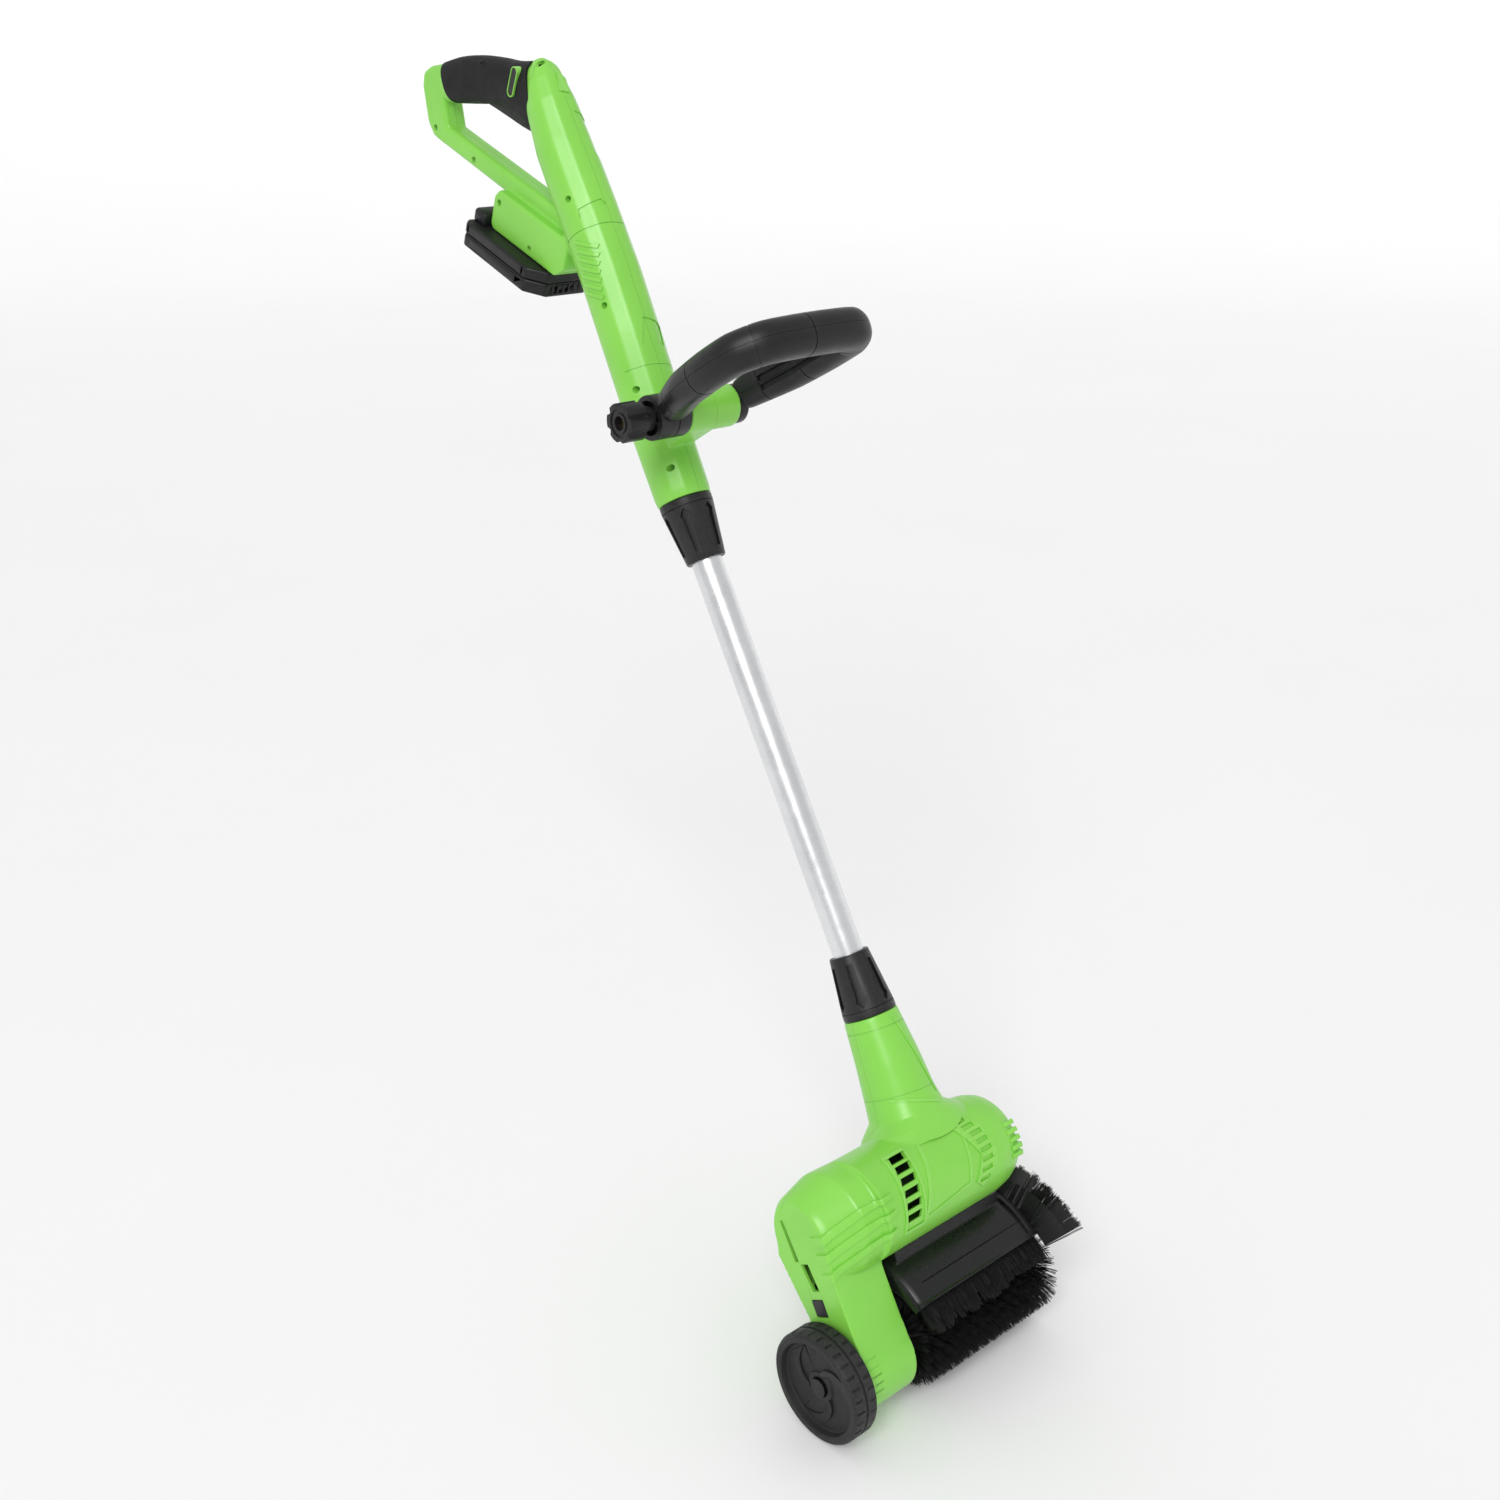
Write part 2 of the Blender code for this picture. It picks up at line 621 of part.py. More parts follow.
def build_aux_handle():
    bar = cut(loop_bar(), rod("boss_room", "X", PIVOT, -RIGHT_HUB[0], RIGHT_HUB[0], BOSS_RADIUS + GAP))
    hubs = [rod("hub", "X", PIVOT, RIGHT_HUB[0], RIGHT_HUB[1], RIGHT_HUB[2]),
            rod("hub", "X", PIVOT, LEFT_HUB[0], LEFT_HUB[1], LEFT_HUB[2])]
    top = boolean(copy(bar, "top"), box("half", (-90, -260, LOOP_MIDPLANE + GAP / 2), (90, -20, 330)), "INTERSECT")
    top = join(top, *hubs)
    top = cut(top, rod("bolt_way", "X", PIVOT, -70, 60, BOLT_RADIUS + GAP),
              rod("head_room", "X", PIVOT, 31.5, 60, 8.2, sides=6), rod("knob_room", "X", PIVOT, -70, -50, 14.6))
    bottom = boolean(bar, box("half", (-90, -260, 240), (90, -20, LOOP_MIDPLANE - GAP / 2)), "INTERSECT")
    bottom = cut(bottom, rod("hub", "X", PIVOT, 10, 60, RIGHT_HUB[2] + GAP),
                 rod("hub", "X", PIVOT, -70, -10, LEFT_HUB[2] + GAP))
    place(top, "aux_handle_top", "black_plastic", "aux_handle")
    place(bottom, "aux_handle_bottom", "black_plastic", "aux_handle")

    bolt = join(rod("bolt", "X", PIVOT, -82, 34, BOLT_RADIUS), rod("head", "X", PIVOT, 31.9, 37, 7.4, sides=6))
    place(bolt, "pivot_bolt", "steel", "aux_handle")


def lobed(radius, depth, lobes, centre, count):
    """An outline that swings in and out round a circle."""
    points = []
    for i in range(count):
        angle = 2 * math.pi * i / count
        reach = radius - depth * (0.5 - 0.5 * math.cos(lobes * angle))
        points.append((centre[0] + reach * math.cos(angle), centre[1] + reach * math.sin(angle)))
    return points


def build_knob():
    knob = rounded(extruded("knob", [lobed(KNOB[2], 2.6, 6, PIVOT, 24)], KNOB[0], -66), 2.0, limit=60)
    knob = join(knob, rod("shank", "X", PIVOT, -68, KNOB[1], 12.0))
    knob = cut(knob, rod("bolt_way", "X", PIVOT, -110, -55, BOLT_RADIUS + GAP),
               rod("nut_room", "X", PIVOT, -84, -75, 7.9, sides=6), rod("mouth", "X", PIVOT, -110, -83, 6.0))
    place(knob, "aux_knob", "black_plastic", "aux_knob")
    nut = cut(rod("nut", "X", PIVOT, -83.5, -75.5, 7.4, sides=6),
              rod("thread", "X", PIVOT, -95, -70, BOLT_RADIUS + GAP, sides=12))
    place(nut, "knob_nut", "brass", "aux_knob")


build_aux_handle()
build_knob()


# ---------------------------------------------------------------- tube, collars and collets

add_pivot("upper_collar", 0, 0, UPPER_COLLAR_FOOT)
add_pivot("shaft", 0, 0, 0)
add_pivot("lower_collar", 0, 0, LOWER_COLLAR_TOP)


def collar_profile(narrow_end, wide_end):
    """Outer cone and inner cone; the narrow end has a lip that stops just short of the tube."""
    way = 1 if wide_end > narrow_end else -1
    outer = [(COLLAR_WIDE, wide_end), (COLLAR_NARROW, narrow_end)]
    inner = [(BORE_RADIUS, narrow_end), (BORE_RADIUS, narrow_end + way * 5), (16.0, narrow_end + way * 6),
             (21.6, wide_end)]
    return outer + inner


def collet_profile(narrow_end, wide_end):
    way = 1 if wide_end > narrow_end else -1
    return [(21.0, wide_end), (15.7, narrow_end + way * 7), (TUBE_RADIUS + GAP, narrow_end + way * 7),
            (TUBE_RADIUS + GAP, wide_end)]


def build_tube():
    upper = (UPPER_COLLAR_FOOT, UPPER_COLLAR_FOOT + COLLAR_LENGTH)
    lower = (LOWER_COLLAR_TOP, LOWER_COLLAR_TOP - COLLAR_LENGTH)
    place(turned("c", collar_profile(*upper)), "upper_collar", "black_plastic", "upper_collar")
    place(turned("c", collet_profile(*upper)), "upper_collet", "black_plastic")
    place(turned("c", collar_profile(*lower)), "lower_collar", "black_plastic", "lower_collar")
    place(turned("c", collet_profile(*lower)), "lower_collet", "black_plastic", "shaft")
    inner = TUBE_RADIUS - TUBE_WALL
    tube = turned("t", [(TUBE_RADIUS, TUBE_TOP), (TUBE_RADIUS, TUBE_BOTTOM), (inner, TUBE_BOTTOM),
                        (inner, TUBE_TOP)])
    place(tube, "shaft_tube", "tube_aluminium", "shaft")
    place(rod("lead", "Z", (0, 0), -330, TUBE_TOP - 4, 2.6, sides=8), "power_lead", "rubber", "shaft")


build_tube()


# ---------------------------------------------------------------- head housing

# height, centre in Y, half width in X, half depth in Y
NECK_RINGS = [(NECK_TOP, 0, 23.6, 23.6), (-256, 0, 24.3, 24.3), (-293, -1, 27.9, 27.9), (-325, 0, 30.9, 30.9),
              (-340, -1, 33.5, 33), (-350, -2, 50, 36), (-364, -3, 64, 39), (-385, -5, 72, 40)]
# X, centre (Y, Z), half depth in Y, half height in Z
BARREL_RINGS = [(-95, MOTOR_AXIS, 45, 45), (48, MOTOR_AXIS, 45, 45), (62, MOTOR_AXIS, 42.8, 42.8),
                (71, MOTOR_AXIS, 39.5, 39.5), (HOUSING_RIGHT, MOTOR_AXIS, 35, 35)]
SHOULDER_RINGS = [(-80, MOTOR_AXIS, 44.8, 44.8), (-112, (6, -395), 44.5, 45.5), (-133, (20, -402), 36, 41.5),
                  (ARM_LEFT, (20, -402), 32, 37)]
CRADLES = (-50.0, 12.0)
# (X, Z) of the screws put in from behind
HEAD_SCREWS = [(-126, -388), (-96, -440), (54, -380), (54, -408)]
HEAD_SCREW_FLOOR = 33.5
MOTOR_RADIUS = 24.0


def arm_outline(shrink):
    front = [(-12 + shrink, -398), (-6 + shrink, -450)]
    foot = arc(BRUSH_AXIS, ARM_RADIUS - shrink, 165, 385, 17)
    rear = [(45 - shrink, -468), (51 - shrink, -440), (57 - shrink, -410), (48 - shrink, -390), (34, -375 - shrink), (0, -375 - shrink)]
    return front + foot + rear


def side_loft(name, rings, shrink, trim=0.0):
    """Rings that follow X; trim draws the two end rings inwards."""
    made = []
    for i, (x, (y, z), half_y, half_z) in enumerate(rings):
        x += trim * ((i == 0) - (i == len(rings) - 1)) * (1 if rings[-1][0] > rings[0][0] else -1)
        made.append(oval((x, y, z), Y_AXIS, Z_AXIS, half_y - shrink, half_z - shrink, 2.0, 24))
    return loft(name, made)


def neck_loft(name, shrink, rings):
    return loft(name, [oval((0, y, z), X_AXIS, Y_AXIS, a - shrink, b - shrink, 2.2) for z, y, a, b in rings])


def head_form(shrink):
    """The head's whole outer form, drawn in by shrink; drawn in, its neck stops below the tube."""
    rings = [(-332, 0, 31, 31)] + NECK_RINGS[4:] if shrink else NECK_RINGS
    arm = extruded("arm", [arm_outline(shrink)], ARM_LEFT + shrink, ARM_RIGHT - shrink)
    if not shrink:
        arm = rounded(arm, 3.0, limit=50)
    return join(neck_loft("neck", shrink, rings), side_loft("barrel", BARREL_RINGS, shrink, shrink),
                side_loft("shoulder", SHOULDER_RINGS, shrink, shrink), arm)


def build_head():
    shell = cut(head_form(0), head_form(WALL))
    for x in CRADLES:
        disc = boolean(rod("cradle", "X", MOTOR_AXIS, x, x + 4, 43.5),
                       box("front", (x - 1, -60, -450), (x + 5, 0, -340)), "INTERSECT")
        shell = join(shell, disc)
    shell = join(shell, rod("seat", "X", BRUSH_AXIS, ARM_LEFT + 1, -121, 15.0),
                 rod("seat", "X", BRUSH_AXIS, -101, ARM_RIGHT - 1, 15.0))
    shell = cut(shell, rod("motor_room", "X", MOTOR_AXIS, -60, 40, MOTOR_RADIUS + GAP),
                rod("bearing_room", "X", BRUSH_AXIS, -130.3, -120, 11.0 + GAP),
                rod("bearing_room", "X", BRUSH_AXIS, -102, -91.7, 11.0 + GAP),
                rod("shaft_way", "X", BRUSH_AXIS, -92, -80, 6.0),
                rod("bolt_way", "X", BRUSH_AXIS, -145, -129, 4.0 + GAP),
                rod("tube_way", "Z", (0, 0), -320, NECK_TOP + 5, BORE_RADIUS),
                rod("lead_way", "Z", (0, 0), -340, -315, 8.0),
                box("plug_room", (ARM_LEFT - 5, 17, -466), (ARM_LEFT + 6, 33, -450)))
    within = head_form(1.2)
    for x, z in HEAD_SCREWS:
        post = rod("post", "Y", (x, z), -60, 90, 4.6, sides=8)
        shell = join(shell, boolean(post, within, "INTERSECT", keep=True))
    bpy.data.objects.remove(within, do_unlink=True)
    for x, z in HEAD_SCREWS:
        shell = cut(shell, rod("well", "Y", (x, z), HEAD_SCREW_FLOOR, 100, 3.0, sides=8),
                    rod("thread", "Y", (x, z), 12, 60, 1.6, sides=6))
    for sign, name in ((-1, "head_front_shell"), (1, "head_rear_shell")):
        far = sign * 200
        step = sign * GAP / 2
        side = [(step, -200), (step, -340), (SPLIT_REAR + step, -372), (SPLIT_REAR + step, -600), (far, -600),
                (far, -200)]
        half = boolean(copy(shell, name), extruded("side", [side], -250, 250), "INTERSECT")
        place(half, name, "green_plastic", "shaft")
    bpy.data.objects.remove(shell, do_unlink=True)


def build_head_fittings():
    for number, (x, z) in enumerate(HEAD_SCREWS, 1):
        head = rod("head", "Y", (x, z), HEAD_SCREW_FLOOR + GAP, HEAD_SCREW_FLOOR + 2.6, 2.5, sides=8)
        shank = rod("shank", "Y", (x, z), 14, HEAD_SCREW_FLOOR + 0.6, 1.2, sides=6)
        place(join(head, shank), f"head_screw_{number}", "steel", "shaft")
    plug = box("plug", (ARM_LEFT - 0.8, 17.3, -465.7), (ARM_LEFT + 4, 32.7, -450.3), 1.5)
    place(plug, "arm_plug", "black_plastic", "shaft")


build_head()
build_head_fittings()


# ---------------------------------------------------------------- motor and belt drive

add_pivot("motor_rotor", 0, *MOTOR_AXIS)
add_pivot("brush", 0, *BRUSH_AXIS)
add_pivot("wheel", (WHEEL_OUTER + WHEEL_INNER) / 2, *BRUSH_AXIS)

CAN = (-58.0, 22.0)
SHAFT_HALF = 2.5


def ring_profile(outer, inner, low, high):
    return [(outer, high), (outer, low), (inner, low), (inner, high)]


def build_motor():
    can = turned("can", [(MOTOR_RADIUS, CAN[1]), (MOTOR_RADIUS, CAN[0]), (4, CAN[0]), (4, CAN[0] + 1.6),
                         (MOTOR_RADIUS - 1.6, CAN[0] + 1.6), (MOTOR_RADIUS - 1.6, CAN[1])], "X", MOTOR_AXIS, 24)
    place(can, "motor_can", "steel", "shaft")
    place(turned("cap", ring_profile(MOTOR_RADIUS, 4, CAN[1] + GAP, CAN[1] + 5), "X", MOTOR_AXIS, 24),
          "motor_end_cap", "black_plastic", "shaft")
    place(turned("magnet", ring_profile(MOTOR_RADIUS - 1.9, 18.4, -48, 8), "X", MOTOR_AXIS, 24),
          "motor_magnets", "wheel_grey", "shaft")
    armature = join(rod("stack", "X", MOTOR_AXIS, -42, 2, 17.6), rod("commutator", "X", MOTOR_AXIS, 1, 15, 7.0),
                    rod("shaft", "X", MOTOR_AXIS, -120, 44, SHAFT_HALF, sides=12))
    place(armature, "motor_armature", "copper", "motor_rotor")
    fan = rod("hub", "X", MOTOR_AXIS, 31, 41, 7.0)
    for i in range(6):
        blade = box("blade", (32, -0.9, 5.0), (40, 0.9, 21.0))
        blade.data.transform(Matrix.Translation(Vector((0, *MOTOR_AXIS)) * MM)
                             @ Matrix.Rotation(i * math.pi / 3, 4, "X"))
        fan = join(fan, blade)
    fan = cut(fan, rod("bore", "X", MOTOR_AXIS, 25, 50, SHAFT_HALF + GAP, sides=12))
    place(fan, "cooling_fan", "black_plastic", "motor_rotor")
    place(turned("pulley", ring_profile(DRIVE_PULLEY, SHAFT_HALF + GAP, PULLEY_LEFT, PULLEY_RIGHT), "X",
                 MOTOR_AXIS, 18), "drive_pulley", "steel", "motor_rotor")


def belt_outline(gap):
    """The belt's path round both pulleys, gap away from them."""
    small, large = DRIVE_PULLEY + gap, DRIVEN_PULLEY + gap
    first, second = Vector(MOTOR_AXIS), Vector(BRUSH_AXIS)
    line = second - first
    heading = math.degrees(math.atan2(line.y, line.x))
    meet = math.degrees(math.acos((small - large) / line.length))
    return (arc(second, large, heading - meet, heading + meet, 13)
            + arc(first, small, heading + meet, heading + 360 - meet, 9))


def build_drive():
    belt = extruded("belt", [belt_outline(2.2), belt_outline(0.6)], PULLEY_LEFT + 1, PULLEY_RIGHT - 1)
    place(belt, "drive_belt", "rubber", "shaft")
    place(turned("pulley", ring_profile(DRIVEN_PULLEY, 5.0 + GAP, PULLEY_LEFT, PULLEY_RIGHT), "X", BRUSH_AXIS),
          "driven_pulley", "black_plastic", "brush")
    for name, low, high in (("bearing_outer", -130, -122), ("bearing_inner", -100, -92)):
        place(turned(name, ring_profile(11.0, 5.0 + GAP, low, high), "X", BRUSH_AXIS, 24), name, "steel", "shaft")
    spindle = rod("spindle", "X", BRUSH_AXIS, -129, BRUSH_RIGHT - 1, 5.0, sides=16)
    spindle = cut(spindle, rod("thread", "X", BRUSH_AXIS, BRUSH_RIGHT - 22, BRUSH_RIGHT + 5, 2.6 + GAP, sides=12))
    place(spindle, "brush_spindle", "steel", "brush")


def build_brush():
    tufts = [(BRUSH_RADIUS, BRUSH_RIGHT), (BRUSH_RADIUS, BRUSH_LEFT + 14), (BRUSH_RADIUS - 8, BRUSH_LEFT),
             (CORE_RADIUS + GAP, BRUSH_LEFT), (CORE_RADIUS + GAP, BRUSH_RIGHT)]
    place(turned("core", ring_profile(CORE_RADIUS, 5.0 + GAP, BRUSH_LEFT, BRUSH_RIGHT), "X", BRUSH_AXIS),
          "brush_core", "black_plastic", "brush")
    place(turned("tufts", tufts, "X", BRUSH_AXIS, 30), "brush_bristles", "bristle", "brush")
    screw = join(rod("head", "X", BRUSH_AXIS, BRUSH_RIGHT + GAP, BRUSH_RIGHT + 4, 8.5),
                 rod("shank", "X", BRUSH_AXIS, BRUSH_RIGHT - 18, BRUSH_RIGHT + 2, 2.6, sides=12))
    place(screw, "brush_end_screw", "steel", "brush")


def build_wheel():
    profile = [(46.5, WHEEL_INNER), (WHEEL_RADIUS, -144.5), (WHEEL_RADIUS, -165.5), (46.5, WHEEL_OUTER),
               (41, WHEEL_OUTER), (39, -161), (5.0 + GAP, -159.5),
               (5.0 + GAP, -138.8), (10, -138.8), (12, -150), (40, -152), (42, WHEEL_INNER)]
    place(turned("wheel", profile, "X", BRUSH_AXIS, 30), "wheel", "wheel_grey", "wheel")
    bolt = join(rod("head", "X", BRUSH_AXIS, -164, -160.6, 8.0, sides=16),
                rod("journal", "X", BRUSH_AXIS, -161, -138.4, 5.0, sides=16),
                rod("thread", "X", BRUSH_AXIS, -139, -131, 4.0, sides=12))
    place(bolt, "wheel_bolt", "steel", "shaft")


build_motor()
build_drive()
build_brush()
build_wheel()


# ---------------------------------------------------------------- brush guard

GUARD = (-80.0, 71.0)
GUARD_START, GUARD_END = 42.0, 152.5


def sector(outer, inner, start, end, count):
    return arc(BRUSH_AXIS, outer, start, end, count) + arc(BRUSH_AXIS, inner, end, start, count)


def build_guard():
    inner = GUARD_RADIUS - GUARD_WALL
    hood = extruded("hood", [sector(GUARD_RADIUS, inner, GUARD_START, GUARD_END, 15)], *GUARD)
    cheek = sector(GUARD_RADIUS - 0.4, 54, GUARD_START + 1, GUARD_END - 1, 15)
    saddle = extruded("saddle", [[(-20, -470), (-24, -437), (34, -437), (40, -470)]], -70, 60)
    saddle = cut(saddle, rod("barrel", "X", MOTOR_AXIS, -100, 120, MOTOR_HOUSING_RADIUS + 0.5, sides=32),
                 rod("room", "X", BRUSH_AXIS, -100, 120, inner + 1.0, sides=40))
    guard = join(hood, extruded("cheek", [cheek], GUARD[0] + 0.2, GUARD[0] + 3),
                 extruded("cheek", [cheek], GUARD[1] - 3, GUARD[1] - 0.2), saddle)
    place(guard, "brush_guard", "black_plastic", "shaft")
    front = [(-24.1, -479.2), (-22.7, -480.1), (-36.3, -509.2), (-38.0, -508.5)]
    place(extruded("skirt", [front], GUARD[0] + 4, GUARD[1] - 4), "guard_skirt", "bristle", "shaft")
    fringe = turned("fringe", [(96, 95.5), (65, GUARD[1] + GAP), (62.5, GUARD[1] + GAP), (94.6, 97)], "X",
                    BRUSH_AXIS, 48)
    wedge = [BRUSH_AXIS] + arc(BRUSH_AXIS, 130, 97, 163, 7)
    fringe = boolean(fringe, extruded("wedge", [wedge], 60, 140), "INTERSECT")
    place(fringe, "guard_fringe", "bristle", "shaft")


build_guard()
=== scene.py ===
"""Visual model of a cordless roller-brush sweeper.

Shapes are drawn in millimetres in the tool's own directions: X to the tool's right, Y back towards
the person holding it, Z up along the tube, zero on the tube's axis. TO_ROW leans them into the
frame's metres.
"""
import math
import random

import bmesh
import bpy
from mathutils import Matrix, Vector


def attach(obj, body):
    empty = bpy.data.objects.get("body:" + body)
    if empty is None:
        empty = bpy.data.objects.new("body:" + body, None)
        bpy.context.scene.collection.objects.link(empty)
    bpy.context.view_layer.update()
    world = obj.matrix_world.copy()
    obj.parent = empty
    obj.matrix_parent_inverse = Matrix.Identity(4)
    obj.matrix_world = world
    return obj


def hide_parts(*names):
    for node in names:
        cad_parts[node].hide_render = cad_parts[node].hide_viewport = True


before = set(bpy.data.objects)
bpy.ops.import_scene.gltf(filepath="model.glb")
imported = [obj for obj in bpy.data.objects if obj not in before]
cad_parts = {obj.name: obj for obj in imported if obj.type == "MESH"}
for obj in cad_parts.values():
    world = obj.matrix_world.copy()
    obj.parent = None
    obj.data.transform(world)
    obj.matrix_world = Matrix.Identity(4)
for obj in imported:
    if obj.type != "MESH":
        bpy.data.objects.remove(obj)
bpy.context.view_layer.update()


GAP = 0.3
LEAN = math.radians(30.6)
GRIP_POINT = Vector((0.0, 60.0, 658.0))
TO_ROW = Matrix.Scale(0.001, 4) @ Matrix.Rotation(-LEAN, 4, "X") @ Matrix.Translation(-GRIP_POINT)
X_AXIS, Y_AXIS, Z_AXIS = (1, 0, 0), (0, 1, 0), (0, 0, 1)

WALL = 2.6
TUBE_RADIUS = 14.0
BORE_RADIUS = 14.5
UPPER_BODY_FOOT = 229.3
NECK_TOP = -250.3
PIVOT = (-66.0, 289.0)
MOTOR_AXIS = (-5.0, -393.0)
BRUSH_AXIS = (29.0, -515.0)
LOOP_MIDPLANE = 291.0
SLOPE = math.atan2(0.773, 0.635)

scene = bpy.context.scene
random.seed(7)


# ---------------------------------------------------------------- materials

def link(tree, source, target):
    tree.links.new(source, target)


def add(tree, kind, **settings):
    node = tree.nodes.new(kind)
    for key, value in settings.items():
        if hasattr(node, key):
            setattr(node, key, value)
        else:
            node.inputs[key.replace("_", " ").title()].default_value = value
    return node


def noise(tree, where, scale, detail=3.0, rough=0.55):
    node = add(tree, "ShaderNodeTexNoise")
    node.inputs["Scale"].default_value = scale
    node.inputs["Detail"].default_value = detail
    node.inputs["Roughness"].default_value = rough
    link(tree, where, node.inputs["Vector"])
    return node.outputs["Fac"]


def ramp(tree, value, low, high, to_low, to_high):
    node = add(tree, "ShaderNodeMapRange")
    for key, number in (("From Min", low), ("From Max", high), ("To Min", to_low), ("To Max", to_high)):
        node.inputs[key].default_value = number
    link(tree, value, node.inputs["Value"])
    return node.outputs["Result"]


def mixed(tree, factor, first, second):
    node = add(tree, "ShaderNodeMix", data_type="RGBA")
    link(tree, factor, node.inputs[0])
    for socket, colour in ((node.inputs[6], first), (node.inputs[7], second)):
        if isinstance(colour, tuple):
            socket.default_value = colour + (1.0,)
        else:
            link(tree, colour, socket)
    return node.outputs[2]


def surface(name, colour, shade, roughness, grain, bump, metallic=0.0, wear=None, stretch=(1, 1, 1),
            spread=0.08, coat=0.0, cloud=14.0, tip=None, gloss=0.5):
    """A moulded or worked surface: clouded colour, grain in the gloss and the bump, worn edges.

    grain is the texture's frequency per metre, bump its height in metres, stretch the way it runs
    in the tool's directions, wear the colour that the edges go to, tip the colour of strand ends.
    """
    made = bpy.data.materials.new(name)
    made.use_nodes = True
    tree = made.node_tree
    shader = tree.nodes["Principled BSDF"]
    shader.inputs["Metallic"].default_value = metallic
    shader.inputs["Coat Weight"].default_value = coat
    shader.inputs["Coat Roughness"].default_value = 0.18
    shader.inputs["Specular IOR Level"].default_value = gloss
    place = add(tree, "ShaderNodeTexCoord").outputs["Object"]
    turn = add(tree, "ShaderNodeMapping")
    turn.inputs["Rotation"].default_value = (LEAN, 0, 0)
    link(tree, place, turn.inputs["Vector"])
    run = add(tree, "ShaderNodeMapping")
    run.inputs["Scale"].default_value = stretch
    link(tree, turn.outputs[0], run.inputs["Vector"])
    fine = noise(tree, run.outputs[0], grain, 2.0)
    broad = noise(tree, turn.outputs[0], cloud, 4.0)
    tone = mixed(tree, ramp(tree, broad, 0.35, 0.65, 0.0, 1.0), colour, shade)
    speck = noise(tree, run.outputs[0], grain * 0.37, 5.0, 0.7)
    tone = mixed(tree, ramp(tree, speck, 0.58, 0.78, 0.0, 0.35), tone, shade)
    if wear:
        edge = add(tree, "ShaderNodeNewGeometry").outputs["Pointiness"]
        rub = ramp(tree, edge, 0.52, 0.60, 0.0, 0.55)
        patch = add(tree, "ShaderNodeMath", operation="MULTIPLY")
        link(tree, rub, patch.inputs[0])
        link(tree, ramp(tree, speck, 0.35, 0.6, 0.2, 1.0), patch.inputs[1])
        tone = mixed(tree, patch.outputs[0], tone, wear)
    if tip:
        reach = add(tree, "ShaderNodeAttribute", attribute_name="tip").outputs["Fac"]
        tone = mixed(tree, ramp(tree, reach, 0.55, 1.0, 0.0, 0.8), tone, tip)
    link(tree, tone, shader.inputs["Base Color"])
    shine = ramp(tree, noise(tree, turn.outputs[0], cloud * 3.1, 5.0, 0.65), 0.3, 0.7,
                 roughness - spread, roughness + spread)
    link(tree, shine, shader.inputs["Roughness"])
    relief = add(tree, "ShaderNodeBump")
    relief.inputs["Strength"].default_value = 1.0
    relief.inputs["Distance"].default_value = bump
    link(tree, fine, relief.inputs["Height"])
    wave = add(tree, "ShaderNodeBump")
    wave.inputs["Strength"].default_value = 1.0
    wave.inputs["Distance"].default_value = bump * 4.0
    link(tree, noise(tree, turn.outputs[0], 55.0, 1.0), wave.inputs["Height"])
    link(tree, relief.outputs[0], wave.inputs["Normal"])
    link(tree, wave.outputs[0], shader.inputs["Normal"])
    return made


GREEN = surface("green_satin", (0.235, 0.635, 0.075), (0.215, 0.60, 0.066), 0.34, 1900.0, 0.000018,
                wear=(0.33, 0.72, 0.16), spread=0.05, coat=0.10)
BLACK = surface("black_satin", (0.0085, 0.0087, 0.0092), (0.012, 0.012, 0.0126), 0.38, 1500.0, 0.00003,
                wear=(0.03, 0.03, 0.031), spread=0.07, gloss=0.32)
CASE = surface("black_battery", (0.008, 0.008, 0.0085), (0.011, 0.011, 0.0115), 0.42, 1300.0, 0.00004,
               wear=(0.03, 0.03, 0.03), spread=0.07, gloss=0.32)
GRIP = surface("soft_grip", (0.0085, 0.0086, 0.009), (0.012, 0.012, 0.0124), 0.62, 1100.0, 0.00007,
               wear=(0.024, 0.024, 0.025), spread=0.08, gloss=0.2)
GLOSS = surface("black_gloss", (0.0065, 0.007, 0.0075), (0.009, 0.009, 0.0095), 0.29, 1200.0, 0.00003,
                wear=(0.025, 0.025, 0.026), spread=0.06, gloss=0.38)
RUBBER = surface("wheel_rubber", (0.0135, 0.0138, 0.0142), (0.018, 0.018, 0.0185), 0.58, 1000.0, 0.00006,
                 wear=(0.045, 0.045, 0.045), spread=0.08, gloss=0.3)
ALUMINIUM = surface("brushed_aluminium", (0.80, 0.81, 0.82), (0.70, 0.71, 0.73), 0.30, 2600.0, 0.000012,
                    metallic=1.0, stretch=(1, 1, 0.02), spread=0.06, cloud=22.0)
STEEL = surface("plated_steel", (0.50, 0.50, 0.51), (0.38, 0.38, 0.40), 0.32, 1800.0, 0.00002, metallic=1.0)
COPPER = surface("wound_copper", (0.58, 0.25, 0.10), (0.42, 0.17, 0.07), 0.38, 1500.0, 0.00006,
                 metallic=1.0, stretch=(0.1, 1, 1))
BRASS = surface("brass", (0.66, 0.48, 0.18), (0.52, 0.37, 0.13), 0.33, 1500.0, 0.00002, metallic=1.0)
WRAP = surface("cell_wrap", (0.02, 0.08, 0.27), (0.016, 0.06, 0.21), 0.36, 900.0, 0.00002)
DARK_STEEL = surface("blackened_steel", (0.05, 0.05, 0.052), (0.03, 0.03, 0.031), 0.42, 1500.0, 0.00003, metallic=1.0)
BRISTLE = surface("bristle", (0.004, 0.004, 0.0043), (0.007, 0.007, 0.0075), 0.5, 2200.0, 0.00002,
                  tip=(0.022, 0.022, 0.022), gloss=0.25)

